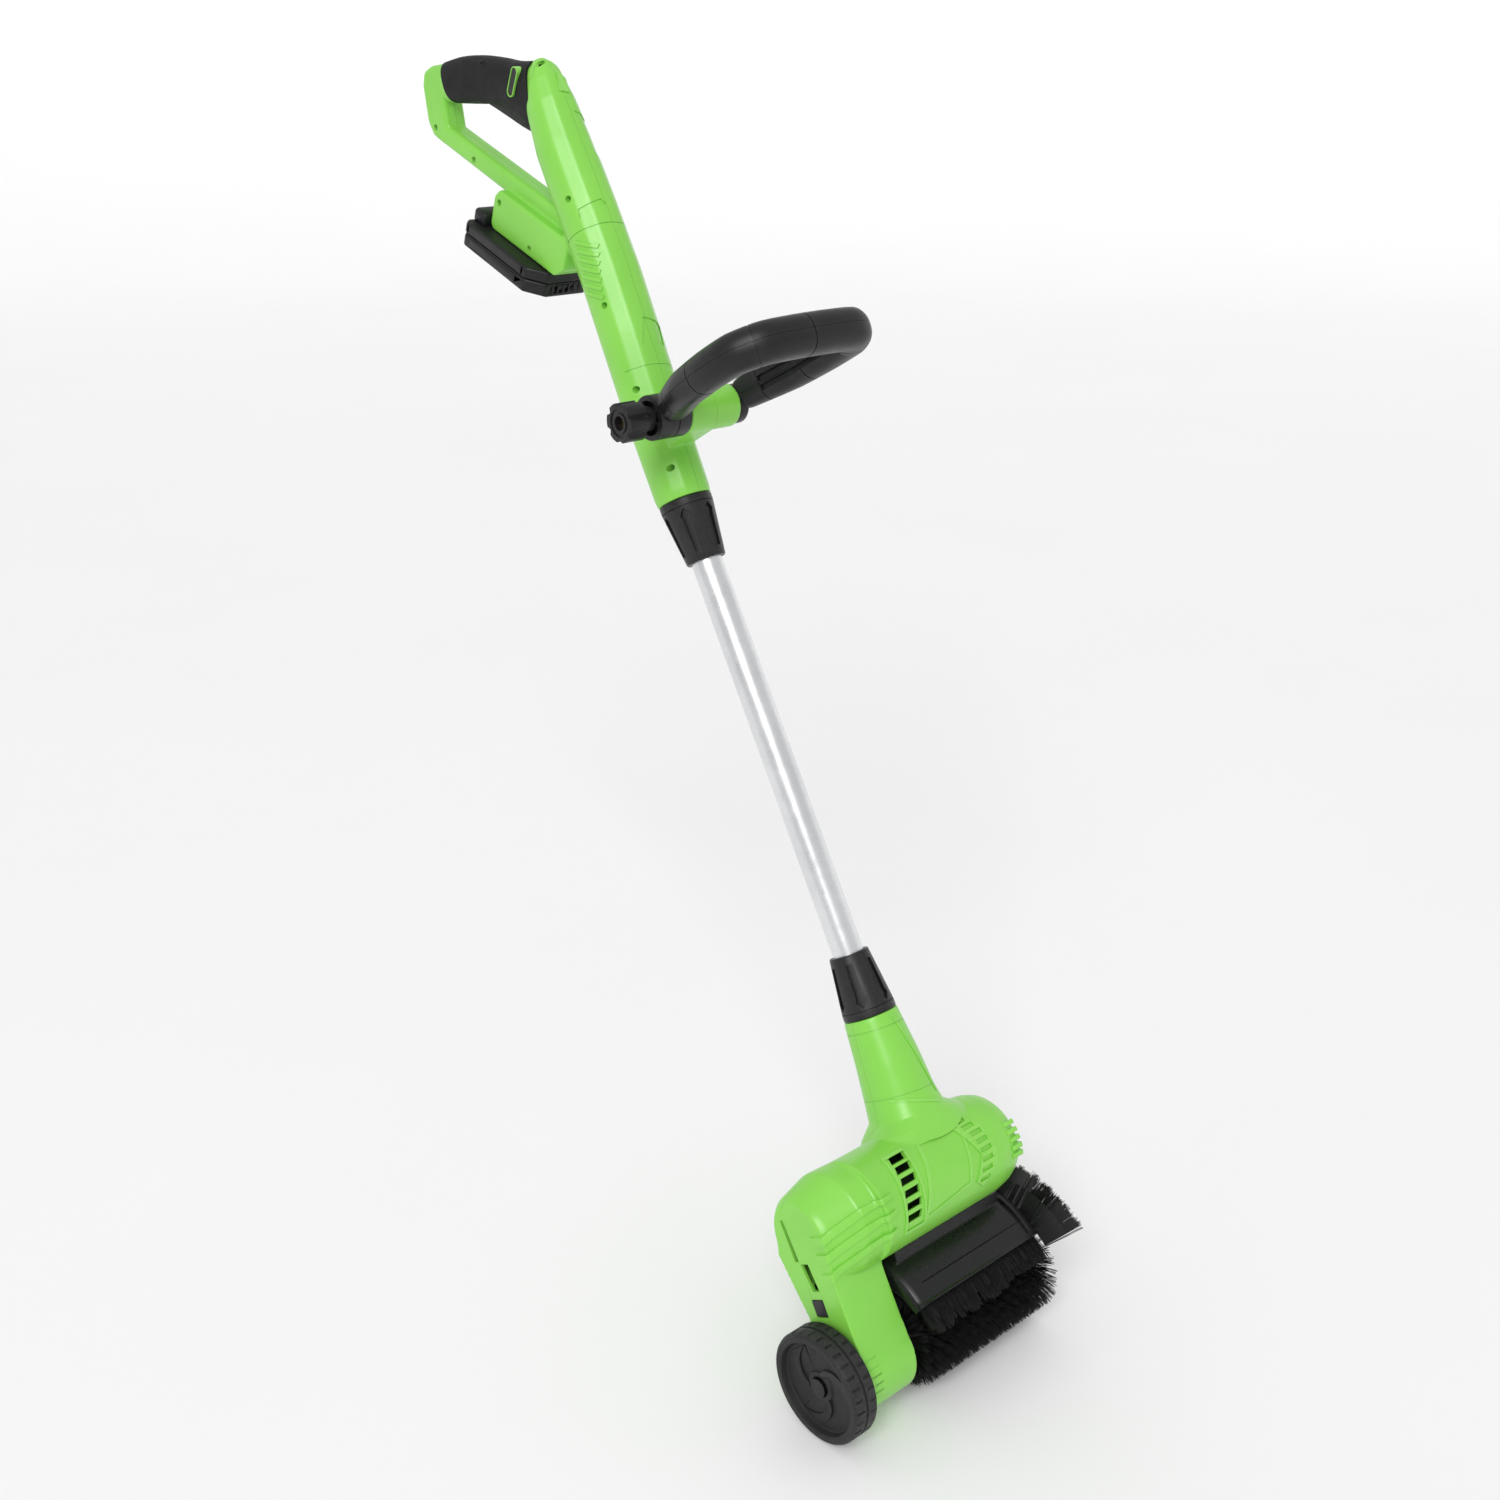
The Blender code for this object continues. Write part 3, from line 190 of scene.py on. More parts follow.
NODE_FINISH = {"housing_screw": STEEL, "head_screw": STEEL, "trigger_pin": STEEL, "trigger_switch": BLACK,
               "terminal_block": BLACK, "upper_collet": BLACK, "lower_collet": BLACK, "battery_cells": WRAP,
               "pivot_bolt": STEEL, "knob_nut": BRASS, "power_lead": RUBBER, "arm_plug": BLACK,
               "motor_can": STEEL, "motor_end_cap": BLACK, "motor_magnets": RUBBER, "drive_belt": RUBBER,
               "bearing": STEEL, "wheel_bolt": DARK_STEEL, "motor_armature": COPPER, "cooling_fan": BLACK,
               "drive_pulley": STEEL, "driven_pulley": BLACK, "brush_spindle": STEEL, "brush_core": BLACK,
               "brush_end_screw": STEEL, "shaft_tube": ALUMINIUM, "brush_bristles": BRISTLE,
               "guard_fringe": BRISTLE, "guard_skirt": BRISTLE, "brush_guard": GLOSS, "wheel": RUBBER,
               "battery_": CASE, "grip_cover": GRIP, "aux_": BLACK, "trigger": BLACK, "lock_off": BLACK,
               "upper_collar": BLACK, "lower_collar": BLACK, "housing_": GREEN, "head_": GREEN}


def dress_cad_nodes():
    for name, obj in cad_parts.items():
        finish = next(NODE_FINISH[key] for key in NODE_FINISH if name.startswith(key))
        for slot in obj.material_slots:
            slot.material = finish


dress_cad_nodes()


# ---------------------------------------------------------------- mesh helpers

def make(bm, name="piece"):
    bmesh.ops.recalc_face_normals(bm, faces=bm.faces)
    mesh = bpy.data.meshes.new(name)
    bm.to_mesh(mesh)
    bm.free()
    made = bpy.data.objects.new(name, mesh)
    scene.collection.objects.link(made)
    return made


def settle(obj):
    """Applies the object's modifiers."""
    graph = bpy.context.evaluated_depsgraph_get()
    graph.update()
    mesh = bpy.data.meshes.new_from_object(obj.evaluated_get(graph))
    obj.modifiers.clear()
    if obj.type != "MESH":
        plain = bpy.data.objects.new(obj.name, mesh)
        scene.collection.objects.link(plain)
        bpy.data.objects.remove(obj, do_unlink=True)
        return plain
    old = obj.data
    obj.data = mesh
    bpy.data.meshes.remove(old)
    return obj


def copy(obj):
    made = bpy.data.objects.new(obj.name, obj.data.copy())
    scene.collection.objects.link(made)
    return made


def boolean(obj, other, operation="DIFFERENCE", keep=False):
    step = obj.modifiers.new("step", "BOOLEAN")
    step.operation = operation
    step.solver = "MANIFOLD"
    step.object = other
    obj = settle(obj)
    if not keep:
        bpy.data.objects.remove(other, do_unlink=True)
    return obj


def cut(obj, *others):
    for other in others:
        obj = boolean(obj, other)
    return obj


def union(obj, *others):
    for other in others:
        obj = boolean(obj, other, "UNION")
    return obj


def common(obj, other, keep=False):
    return boolean(obj, other, "INTERSECT", keep)


def fused(pieces, voxel, rounds, factor=0.5):
    """One skin over overlapping solids, with soft fillets where they meet."""
    bm = bmesh.new()
    for piece in pieces:
        bm.from_mesh(piece.data)
        bpy.data.objects.remove(piece, do_unlink=True)
    mesh = bpy.data.meshes.new("skin")
    bm.to_mesh(mesh)
    bm.free()
    skin = bpy.data.objects.new("skin", mesh)
    scene.collection.objects.link(skin)
    remesh = skin.modifiers.new("remesh", "REMESH")
    remesh.mode = "VOXEL"
    remesh.voxel_size = voxel
    smooth = skin.modifiers.new("smooth", "SMOOTH")
    smooth.iterations = rounds
    smooth.factor = factor
    return settle(skin)


def rounded(obj, width, segments=3, limit=35):
    bevel = obj.modifiers.new("round", "BEVEL")
    bevel.width = width
    bevel.segments = segments
    bevel.limit_method = "ANGLE"
    bevel.angle_limit = math.radians(limit)
    bevel.harden_normals = False
    return settle(obj)


def block(low, high, bevel=0.0):
    bm = bmesh.new()
    bmesh.ops.create_cube(bm, size=1.0)
    for vertex in bm.verts:
        vertex.co = Vector((low[i] + (vertex.co[i] + 0.5) * (high[i] - low[i]) for i in range(3)))
    made = make(bm)
    return rounded(made, bevel) if bevel else made


def rod(axis, centre, start, end, radius, end_radius=None, sides=48):
    """A round bar along X, Y or Z; centre holds the two other coordinates."""
    bm = bmesh.new()
    far = radius if end_radius is None else end_radius
    bmesh.ops.create_cone(bm, cap_ends=True, segments=sides, radius1=radius, radius2=far, depth=end - start)
    middle = (start + end) / 2
    turn = {"X": Matrix.Rotation(math.pi / 2, 4, "Y"), "Y": Matrix.Rotation(-math.pi / 2, 4, "X"),
            "Z": Matrix.Identity(4)}[axis]
    spot = {"X": (middle, centre[0], centre[1]), "Y": (centre[0], middle, centre[1]),
            "Z": (centre[0], centre[1], middle)}[axis]
    bm.transform(Matrix.Translation(spot) @ turn)
    return make(bm)


def extruded(outlines, low, high, plane="YZ"):
    """Flat outlines (later ones are holes) given a thickness along the third axis."""
    curve = bpy.data.curves.new("outline", "CURVE")
    curve.dimensions = "2D"
    curve.fill_mode = "BOTH"
    curve.extrude = (high - low) / 2
    for outline in outlines:
        spline = curve.splines.new("POLY")
        spline.points.add(len(outline) - 1)
        for point, (a, b) in zip(spline.points, outline):
            point.co = (a, b, 0, 1)
        spline.use_cyclic_u = True
    drawn = bpy.data.objects.new("outline", curve)
    scene.collection.objects.link(drawn)
    made = settle(drawn)
    columns = {"YZ": ((0, 1, 0), (0, 0, 1), (1, 0, 0)), "XY": ((1, 0, 0), (0, 1, 0), (0, 0, 1)),
               "XZ": ((1, 0, 0), (0, 0, 1), (0, -1, 0)),
               "XS": ((1, 0, 0), (0, math.cos(SLOPE), math.sin(SLOPE)),
                      (0, math.sin(SLOPE), -math.cos(SLOPE)))}[plane]
    middle = (low + high) / 2 * (-1 if plane == "XZ" else 1)
    turn = Matrix(columns).transposed().to_4x4()
    bm = bmesh.new()
    bm.from_mesh(made.data)
    bpy.data.objects.remove(made, do_unlink=True)
    bmesh.ops.remove_doubles(bm, verts=bm.verts, dist=1e-4)
    bm.transform(turn @ Matrix.Translation((0, 0, middle)))
    return make(bm)


def loft(rings, closed=False):
    """A skin through rings of equally many points, capped at both ends unless closed on itself."""
    bm = bmesh.new()
    rows = [[bm.verts.new(Vector(point)) for point in ring] for ring in rings]
    count = len(rows[0])
    pairs = list(zip(rows, rows[1:])) + ([(rows[-1], rows[0])] if closed else [])
    for lower, upper in pairs:
        for i in range(count):
            j = (i + 1) % count
            bm.faces.new((lower[i], lower[j], upper[j], upper[i]))
    if not closed:
        bm.faces.new(rows[0])
        bm.faces.new(rows[-1])
    return make(bm)


def turned(profile, axis="Z", centre=(0, 0), sides=96):
    """A closed (radius, height) outline turned full circle about an axis along X or Z."""
    rings = []
    for i in range(sides):
        angle = 2 * math.pi * i / sides
        c, s = math.cos(angle), math.sin(angle)
        if axis == "X":
            rings.append([(h, centre[0] + r * c, centre[1] + r * s) for r, h in profile])
        else:
            rings.append([(centre[0] + r * c, centre[1] + r * s, h) for r, h in profile])
    return loft(rings, closed=True)


def oval(centre, across, up, half_across, half_up, square=2.0, sides=48):
    points = []
    for i in range(sides):
        angle = 2 * math.pi * (i + 0.5) / sides
        c, s = math.cos(angle), math.sin(angle)
        a = math.copysign(abs(c) ** (2 / square), c) * half_across
        b = math.copysign(abs(s) ** (2 / square), s) * half_up
        points.append(Vector(centre) + Vector(across) * a + Vector(up) * b)
    return points


def arc(centre, radius, start, end, count):
    steps = [math.radians(start + (end - start) * i / (count - 1)) for i in range(count)]
    return [(centre[0] + radius * math.cos(a), centre[1] + radius * math.sin(a)) for a in steps]


def through(stations, steps, slack=1.0):
    """Stations of numbers with in-between ones added: smooth at slack 1, straight at 0."""
    made = []
    last = len(stations) - 1
    for i in range(last):
        four = (stations[max(i - 1, 0)], stations[i], stations[i + 1], stations[min(i + 2, last)])
        for k in range(steps):
            t = k / steps
            smooth = [0.5 * (2 * b + (c - a) * t + (2 * a - 5 * b + 4 * c - d) * t * t
                             + (3 * b - a - 3 * c + d) * t ** 3) for a, b, c, d in zip(*four)]
            made.append(tuple(s * slack + (b + (c - b) * t) * (1 - slack)
                              for s, b, c in zip(smooth, four[1], four[2])))
    made.append(tuple(stations[-1]))
    return made


def slope_point(along, out):
    """(Y, Z) of a point given along the battery's slide direction and out from the strut."""
    c, s = math.cos(SLOPE), math.sin(SLOPE)
    return (along * c + out * s, along * s - out * c)


def slab(x_half, along, out, bevel=0.0):
    outline = [(-x_half, along[0]), (x_half, along[0]), (x_half, along[1]), (-x_half, along[1])]
    made = extruded([outline], out[0], out[1], "XS")
    return rounded(made, bevel) if bevel else made


def inset(outline, distance):
    """A convex outline moved inwards by a distance."""
    centre = Vector((sum(p[0] for p in outline), sum(p[1] for p in outline))) / len(outline)
    lines = []
    for a, b in zip(outline, outline[1:] + outline[:1]):
        a, b = Vector(a), Vector(b)
        along = (b - a).normalized()
        inward = Vector((-along.y, along.x))
        if inward.dot(centre - a) < 0:
            inward = -inward
        lines.append((a + inward * distance, along))
    points = []
    for (p, d), (q, e) in zip(lines[-1:] + lines[:-1], lines):
        across = d.x * e.y - d.y * e.x
        t = ((q - p).x * e.y - (q - p).y * e.x) / across
        points.append(tuple(p + d * t))
    return points


def place(obj, name, finish, slot, body, *nodes, sharp=32):
    """Names a finished piece, leans it into the frame and hangs it on its body."""
    obj.name = name
    obj.data.name = name
    obj.data.transform(TO_ROW)
    obj.data.materials.clear()
    obj.data.materials.append(finish)
    obj.data.shade_smooth()
    obj.data.set_sharp_from_angle(angle=math.radians(sharp))
    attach(obj, body)
    if nodes:
        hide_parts(*nodes)
    return obj


def strands(items, radius, sides=3):
    """Thin tapered bristles; each item is (root, tip, bend), bend moving the middle sideways."""
    points, faces, reach = [], [], []
    for root, tip, bend in items:
        root, tip = Vector(root), Vector(tip)
        along = (tip - root).normalized()
        side = along.orthogonal().normalized()
        other = along.cross(side)
        start = len(points)
        for t, size in ((0.0, 1.0), (0.55, 1.0), (1.0, 0.7)):
            spot = root.lerp(tip, t) + Vector(bend) * (4 * t * (1 - t))
            for k in range(sides):
                angle = 2 * math.pi * k / sides
                points.append(spot + (side * math.cos(angle) + other * math.sin(angle)) * radius * size)
                reach.append(t)
        for ring in (0, 1):
            for k in range(sides):
                j = (k + 1) % sides
                low = start + ring * sides
                faces.append((low + k, low + j, low + sides + j, low + sides + k))
        faces.append(tuple(start + k for k in reversed(range(sides))))
        faces.append(tuple(start + 2 * sides + k for k in range(sides)))
    mesh = bpy.data.meshes.new("strands")
    mesh.from_pydata(points, [], faces)
    layer = mesh.attributes.new("tip", "FLOAT", "POINT")
    layer.data.foreach_set("value", reach)
    made = bpy.data.objects.new("strands", mesh)
    scene.collection.objects.link(made)
    return made


# ---------------------------------------------------------------- handle housing

# height, centre in Y, radius
BODY_RINGS = [(UPPER_BODY_FOOT, 0, 23.8), (236, 0, 24.8), (290, -1.5, 25.4), (332, -4, 26.4), (380, -7, 26.7),
              (435, -10, 26.7), (500, -10.5, 26.2), (560, -10, 25.2), (597, -12, 22.0), (618, -14, 17.5),
              (630, -15.5, 12.5), (637, -16, 6.0)]
# top (Y, Z), bottom (Y, Z), half width: the grip from the body to the rear post
GRIP_STATIONS = [(-17, 637, -4, 582, 20.0), (8, 651, 17, 594, 18.0), (30, 667, 39, 620.5, 16.5),
                 (54, 683, 65, 640.5, 16.0), (80, 697, 91.5, 656, 15.8), (106, 707, 114, 669, 15.0)]
POST = [(100, 702), (124, 713), (139, 715), (148, 706), (160, 674), (159, 662), (145, 644), (134, 647),
        (123, 677), (104, 690)]
STRUT = [(159, 660), (12.5, 477), (-4, 490), (143, 670)]
BASE = [slope_point(a, b) for a, b in ((372, -300), (372, -272), (384, -262), (484, -262), (488, -266),
                                       (488, -292), (482, -300))]
NECK = [(-66, 273), (-66, 305), (-18, 310), (-18, 273)]
TRIGGER_PIVOT = (64.0, 648.0)
TRIGGER_SLOT = [(5, 589), (4, 604), (14, 622), (30, 640), (60, 664), (72, 660), (76, 636), (40, 598), (24, 584)]
TRIGGER = [(14, 591), (20, 589.5), (30, 600), (46, 619), (58, 633), (66, 642), (68, 650), (62, 653), (50, 645),
           (34, 628), (20, 612), (14, 603)]
SCREWS = [(149, 664), (109, 610), (80, 553), (-20, 506), (-18, 408), (-17, 330), (-18, 256)]
SCREW_DEPTH = 6.0
FACETS = [math.radians(a) for a in (-135, -45)]


def body_ring(y, z, radius, sides=72):
    """A boxy round with a flat down each front quarter."""
    points = []
    for i in range(sides):
        angle = 2 * math.pi * (i + 0.5) / sides
        c, s = math.cos(angle), math.sin(angle)
        reach = radius / (abs(c) ** 2.2 + abs(s) ** 2.2) ** (1 / 2.2)
        for facet in FACETS:
            toward = math.cos(angle - facet)
            if toward > 0.5:
                reach = min(reach, 0.99 * radius / toward)
        points.append((reach * c, y + reach * s, z))
    return points


def body_form(shrink, rings=BODY_RINGS):
    return loft([body_ring(y, z, r - shrink) for z, y, r in rings])


def grip_form(shrink, first_shift=0.0, last_shift=0.0, steps=3, swell=0.0):
    """The grip's form, drawn in by shrink, its ends pushed outwards by the two shifts."""
    rings = []
    stations = through(GRIP_STATIONS, steps)
    last = len(stations) - 1
    for i, (ty, tz, by, bz, half_width) in enumerate(stations):
        top, bottom = Vector((ty, tz)), Vector((by, bz))
        middle, half = (top + bottom) / 2, (top - bottom).length / 2
        up = (top - bottom).normalized()
        along = Vector((up.y, -up.x))
        middle += along * ((i == last) * last_shift - (i == 0) * first_shift)
        rings.append(oval((0, middle.x, middle.y), X_AXIS, (0, up.x, up.y), half_width - shrink + swell,
                          half - shrink + swell, square=2.6))
    return loft(rings)


def slot_rim(side, grow, reach=20.2, start=14.0, radius=4.6):
    """The long ring round the lock-off button, on one flank of the grip."""
    low, high = sorted((side * start, side * (reach + grow)))
    middle, half, radius = Vector((4.0, 629.0)), 9.0, radius + grow
    turn = math.radians(-35)
    outline = []
    for centre, begin in ((half, -90), (-half, 90)):
        for y, z in arc((centre, 0), radius, begin, begin + 180, 15):
            outline.append((middle.x + y * math.cos(turn) - z * math.sin(turn),
                            middle.y + y * math.sin(turn) + z * math.cos(turn)))
    return extruded([outline], low, high)


def strip(start, end, width):
    """An outline of four points along a line."""
    a, b = Vector(start), Vector(end)
    across = (b - a).normalized()
    across = Vector((-across.y, across.x)) * width / 2
    return [tuple(a - across), tuple(b - across), tuple(b + across), tuple(a + across)]


def body_recess(shell, prism, depth):
    """Takes a prism out of the body down to a depth below its surface."""
    return cut(shell, boolean(prism, body_form(depth)))


def build_shell():
    skin = fused([body_form(0),
                  rounded(extruded([POST], -11.5, 11.5), 4.5, 4),
                  rounded(extruded([STRUT], -11.5, 11.5), 5.0, 5),
                  rounded(extruded([BASE], -22, 22), 4.2, 5),
                  rounded(extruded([NECK], -15, 15), 3.5, 4),
                  rod("X", PIVOT, -27, 27, 18.6, sides=64)], 1.15, 4)
    skin = cut(skin, grip_form(-GAP))
    skin = union(skin, grip_form(2.6, 8.0, 8.0))

    # relief on the body
    skin = union(skin, common(extruded([[(-4, 599), (1, 616), (11, 613), (6, 597)]], -60, -5, "XZ"),
                              body_form(-1.1)))
    skin = body_recess(skin, extruded([[(4, 580), (40, 572), (40, 536), (10, 541)]], -60, 10, "XZ"), 0.9)
    skin = body_recess(skin, extruded([strip((-60, 477.5), (60, 471.5), 0.9)], -60, 2, "XZ"), 0.7)
    skin = body_recess(skin, extruded([[(-23, 486), (-22, 494), (-3, 497), (1, 492)]], -60, -12, "XZ"), 1.0)
    skin = body_recess(skin, extruded([[(-10, 365), (-2, 388), (22, 381), (14, 361)]], -60, -10, "XZ"), 1.1)
    skin = body_recess(skin, extruded([strip((-40, 349), (40, 341), 0.9)], -60, -14, "XZ"), 0.6)
    for i in range(7):
        t = i / 6
        rear, front = (-12 + 9 * t, 470 - 43 * t), (-30 + 9 * t, 457 - 43 * t)
        skin = union(skin, common(extruded([strip(rear, front, 3.2)], -40, -5), body_form(-1.1)))
    skin = cut(skin, rod("X", (61, 499), -40, -18, 2.6, sides=24))
    skin = body_recess(skin, rod("X", (-25.6, 629), -40, -2, 2.7, sides=24), 4.0)
    # inside
    rings = [(246, 0, 24.8)] + [(min(z, 632), y, r) for z, y, r in BODY_RINGS[2:-1]]
    skin = cut(skin, body_form(WALL, rings), grip_form(5.2, 6.0, 4.0),
               extruded([inset(POST[1:8], WALL)], -8.0, 8.0), extruded([inset(STRUT, WALL)], -8.0, 8.0),
               extruded([inset(BASE, 3.1)], -18.9, 18.9))
    outline = fused([body_form(1.5), rounded(extruded([inset(STRUT, 0.8)], -10, 10), 2.0),
                     rounded(extruded([inset(POST[1:8], 0.8)], -10, 10), 2.0),
                     rounded(extruded([inset(BASE, 0.8)], -20.5, 20.5), 2.0)], 1.6, 1)
    for y, z in SCREWS:
        skin = union(skin, common(rod("X", (y, z), -30, 30, 4.6, sides=24), outline, keep=True))
    bpy.data.objects.remove(outline, do_unlink=True)
    skin = cut(skin, rod("Z", (0, 0), UPPER_BODY_FOOT - 5, 445, BORE_RADIUS, sides=64),
               rod("X", PIVOT, -40, 40, 4.3, sides=32),
               slab(17.5, (390, 500), (-280.3, -265.5)), slab(13.7, (391, 499), (-266, -255)),
               extruded([TRIGGER_SLOT], -7.5, 7.5), rod("X", TRIGGER_PIVOT, -9.1, 9.1, 1.8, sides=24))
    for y, z in SCREWS:
        skin = cut(skin, rod("X", (y, z), -40, -SCREW_DEPTH + GAP, 3.0, sides=24),
                   rod("X", (y, z), -40, SCREW_DEPTH + GAP, 1.6, sides=16))
    return skin


def build_housing():
    shell = build_shell()
    for side, name in ((-1, "housing_left"), (1, "housing_right")):
        low, high = sorted((side * GAP / 2, side * 200))
        half = common(copy(shell), block((low, -300, 100), (high, 300, 800)))
        half = union(half, slot_rim(side, 0))
        half = cut(half, slot_rim(side, 0, 25.0, 14.8, 3.75), rod("X", (4, 629), -30, 30, 3.3, sides=32))
        place(half, "skin_" + name, GREEN, "green_plastic", "handle", name)
    bpy.data.objects.remove(shell, do_unlink=True)


def build_grip():
    """The soft covers, each with a thin groove along its flank."""
    cover = grip_form(0, steps=6)
    cover = cut(cover, grip_form(2.3, 8.0, 8.0))
    cover = cut(cover, extruded([TRIGGER_SLOT], -8.0, 8.0))
    for side, name in ((-1, "grip_cover_left"), (1, "grip_cover_right")):
        low, high = sorted((side * GAP / 2, side * 60))
        half = common(copy(cover), block((low, -60, 560), (high, 160, 760)))
        half = cut(half, slot_rim(side, GAP))
        screw_side = -1
        if side == screw_side:
            half = cut(half, rod("X", (46, 671), -30, -14.2, 3.0, sides=24))
        half = cut(half, common(extruded([strip((20, 656), (100, 704), 1.0)], low, high),
                                boolean(block((-60, -60, 500), (60, 200, 800)), grip_form(0.7)), False))
        place(half, "skin_" + name, GRIP, "soft_grip", "handle", name)
    bpy.data.objects.remove(cover, do_unlink=True)


def build_trigger():
    blade = rounded(extruded([TRIGGER], -6.6, 6.6), 1.6, 4)
    blade = cut(blade, rod("X", TRIGGER_PIVOT, -10, 10, 1.8, sides=24))
    place(blade, "skin_trigger", BLACK, "black_plastic", "trigger", "trigger")
    bar = union(rod("X", (4, 629), -19.0, 19.0, 2.9, sides=32), slot_rim(-1, 0, 19.8, 18.3, 3.4),
                slot_rim(1, 0, 19.8, 18.3, 3.4))
    place(bar, "skin_lock_off_button", BLACK, "black_plastic", "lock_off", "lock_off_button")


# ---------------------------------------------------------------- battery

CASE_OUTLINE = [(-37.5, 405), (-23, 390), (23, 390), (37.5, 405), (37.5, 502), (32.5, 507), (-32.5, 507),
                (-37.5, 502)]
SEAM = -251.0


def build_battery():
    room = inset(CASE_OUTLINE, 2.0)
    bottom = rounded(extruded([CASE_OUTLINE], SEAM + GAP, -238.0, "XS"), 2.6, 4)
    panel = inset(CASE_OUTLINE, 8.0)
    bottom = cut(bottom, extruded([room], SEAM - 1, -240.2, "XS"),
                 rounded(extruded([panel], -238.7, -230, "XS"), 0.3, 2))
    top = rounded(extruded([CASE_OUTLINE], -261.7, SEAM, "XS"), 2.2, 4)
    top = union(top, slab(17.0, (404.5, 487), (-280, -265.5), 0.4), slab(13.4, (406, 486), (-266, -260.7)),
                slab(28, (488.8, 506.5), (-273, -260.7), 3.4))
    top = cut(top, extruded([room], -259.7, SEAM + 1, "XS"), slab(12.3, (497, 515), (-270.3, -263.7)))
    for side in (-1, 1):
        near, far = sorted((side * 36.6, side * 37.9))
        panel = extruded([[(near, 418), (far, 419), (far, 491), (near, 492)]], SEAM + 2.2, -241.6, "XS")
        bottom = union(bottom, rounded(panel, 0.3, 2))
        near, far = sorted((side * 36.9, side * 45))
        for start in (409, 497):
            notch = [(near, start), (far, start), (far, start + 2.4), (near, start + 2.4)]
            top = cut(top, extruded([notch], -264, -250, "XS"))
    for i in range(6):
        x = -15 + 6 * i
        rib = [(x - 1.0, 389.2), (x + 1.0, 389.2), (x + 1.0, 391), (x - 1.0, 391)]
        bottom = union(bottom, extruded([rib], SEAM + 2.0, -241.5, "XS"))
    place(bottom, "skin_battery_bottom", CASE, "black_plastic", "battery", "battery_bottom_case")
    place(top, "skin_battery_top", CASE, "black_plastic", "battery", "battery_top_case")
    button = slab(12.0, (501, 509), (-270, -264), 0.8)
    for i in range(4):
        button = cut(button, slab(9.0, (508.5, 510), (-269.2 + 1.4 * i, -268.5 + 1.4 * i)))
    place(button, "skin_battery_release", BLACK, "black_plastic", "battery_release", "battery_release_button")


# ---------------------------------------------------------------- auxiliary handle

# X, Y, thickness of the bar against LOOP_RADIUS, and how much higher its back stands
LOOP_RADIUS = 16.0
LOOP_PATH = [(38, -76, 0.75, 3), (45, -96, 0.85, 8), (56, -128, 0.97, 10), (61, -165, 1.03, 5),
             (62, -196, 1.05, 0), (49, -213, 1.06, 0), (16, -215, 1.06, 0), (-14, -214, 1.06, 0),
             (-42, -210, 1.05, 0), (-60, -194, 1.03, 0), (-64, -165, 1.0, 0), (-61, -128, 0.97, 0),
             (-50, -96, 0.9, 0), (-44, -76, 0.8, 0)]
BOSS_ROOM = 18.9


def loop_form(shrink, steps=6):
    path = through(LOOP_PATH, steps, 0.55)
    rings = []
    for i, (x, y, thickness, rise) in enumerate(path):
        before, after = path[max(i - 1, 0)], path[min(i + 1, len(path) - 1)]
        heading = Vector((after[0] - before[0], after[1] - before[1], 0)).normalized()
        across = Vector((-heading.y, heading.x, 0))
        rings.append(oval((x, y, LOOP_MIDPLANE + rise / 2), across, Z_AXIS, LOOP_RADIUS * thickness - shrink,
                          LOOP_RADIUS * thickness - shrink + rise / 2, 2.3, 40))
    return loft(rings)


def loop_seam(index, steps=6):
    """A thin disc across the bar at one of the path's stations."""
    path = through(LOOP_PATH, steps)
    here, after = Vector(path[index][:2]), Vector(path[index + 1][:2])
    heading = (after - here).normalized()
    across = Vector((-heading.y, heading.x))
    corners = [here + across * 30 - heading * 0.5, here - across * 30 - heading * 0.5,
               here - across * 30 + heading * 0.5, here + across * 30 + heading * 0.5]
    disc = extruded([[tuple(c) for c in corners]], 260, 320, "XY")
    return boolean(disc, loop_form(0.7))


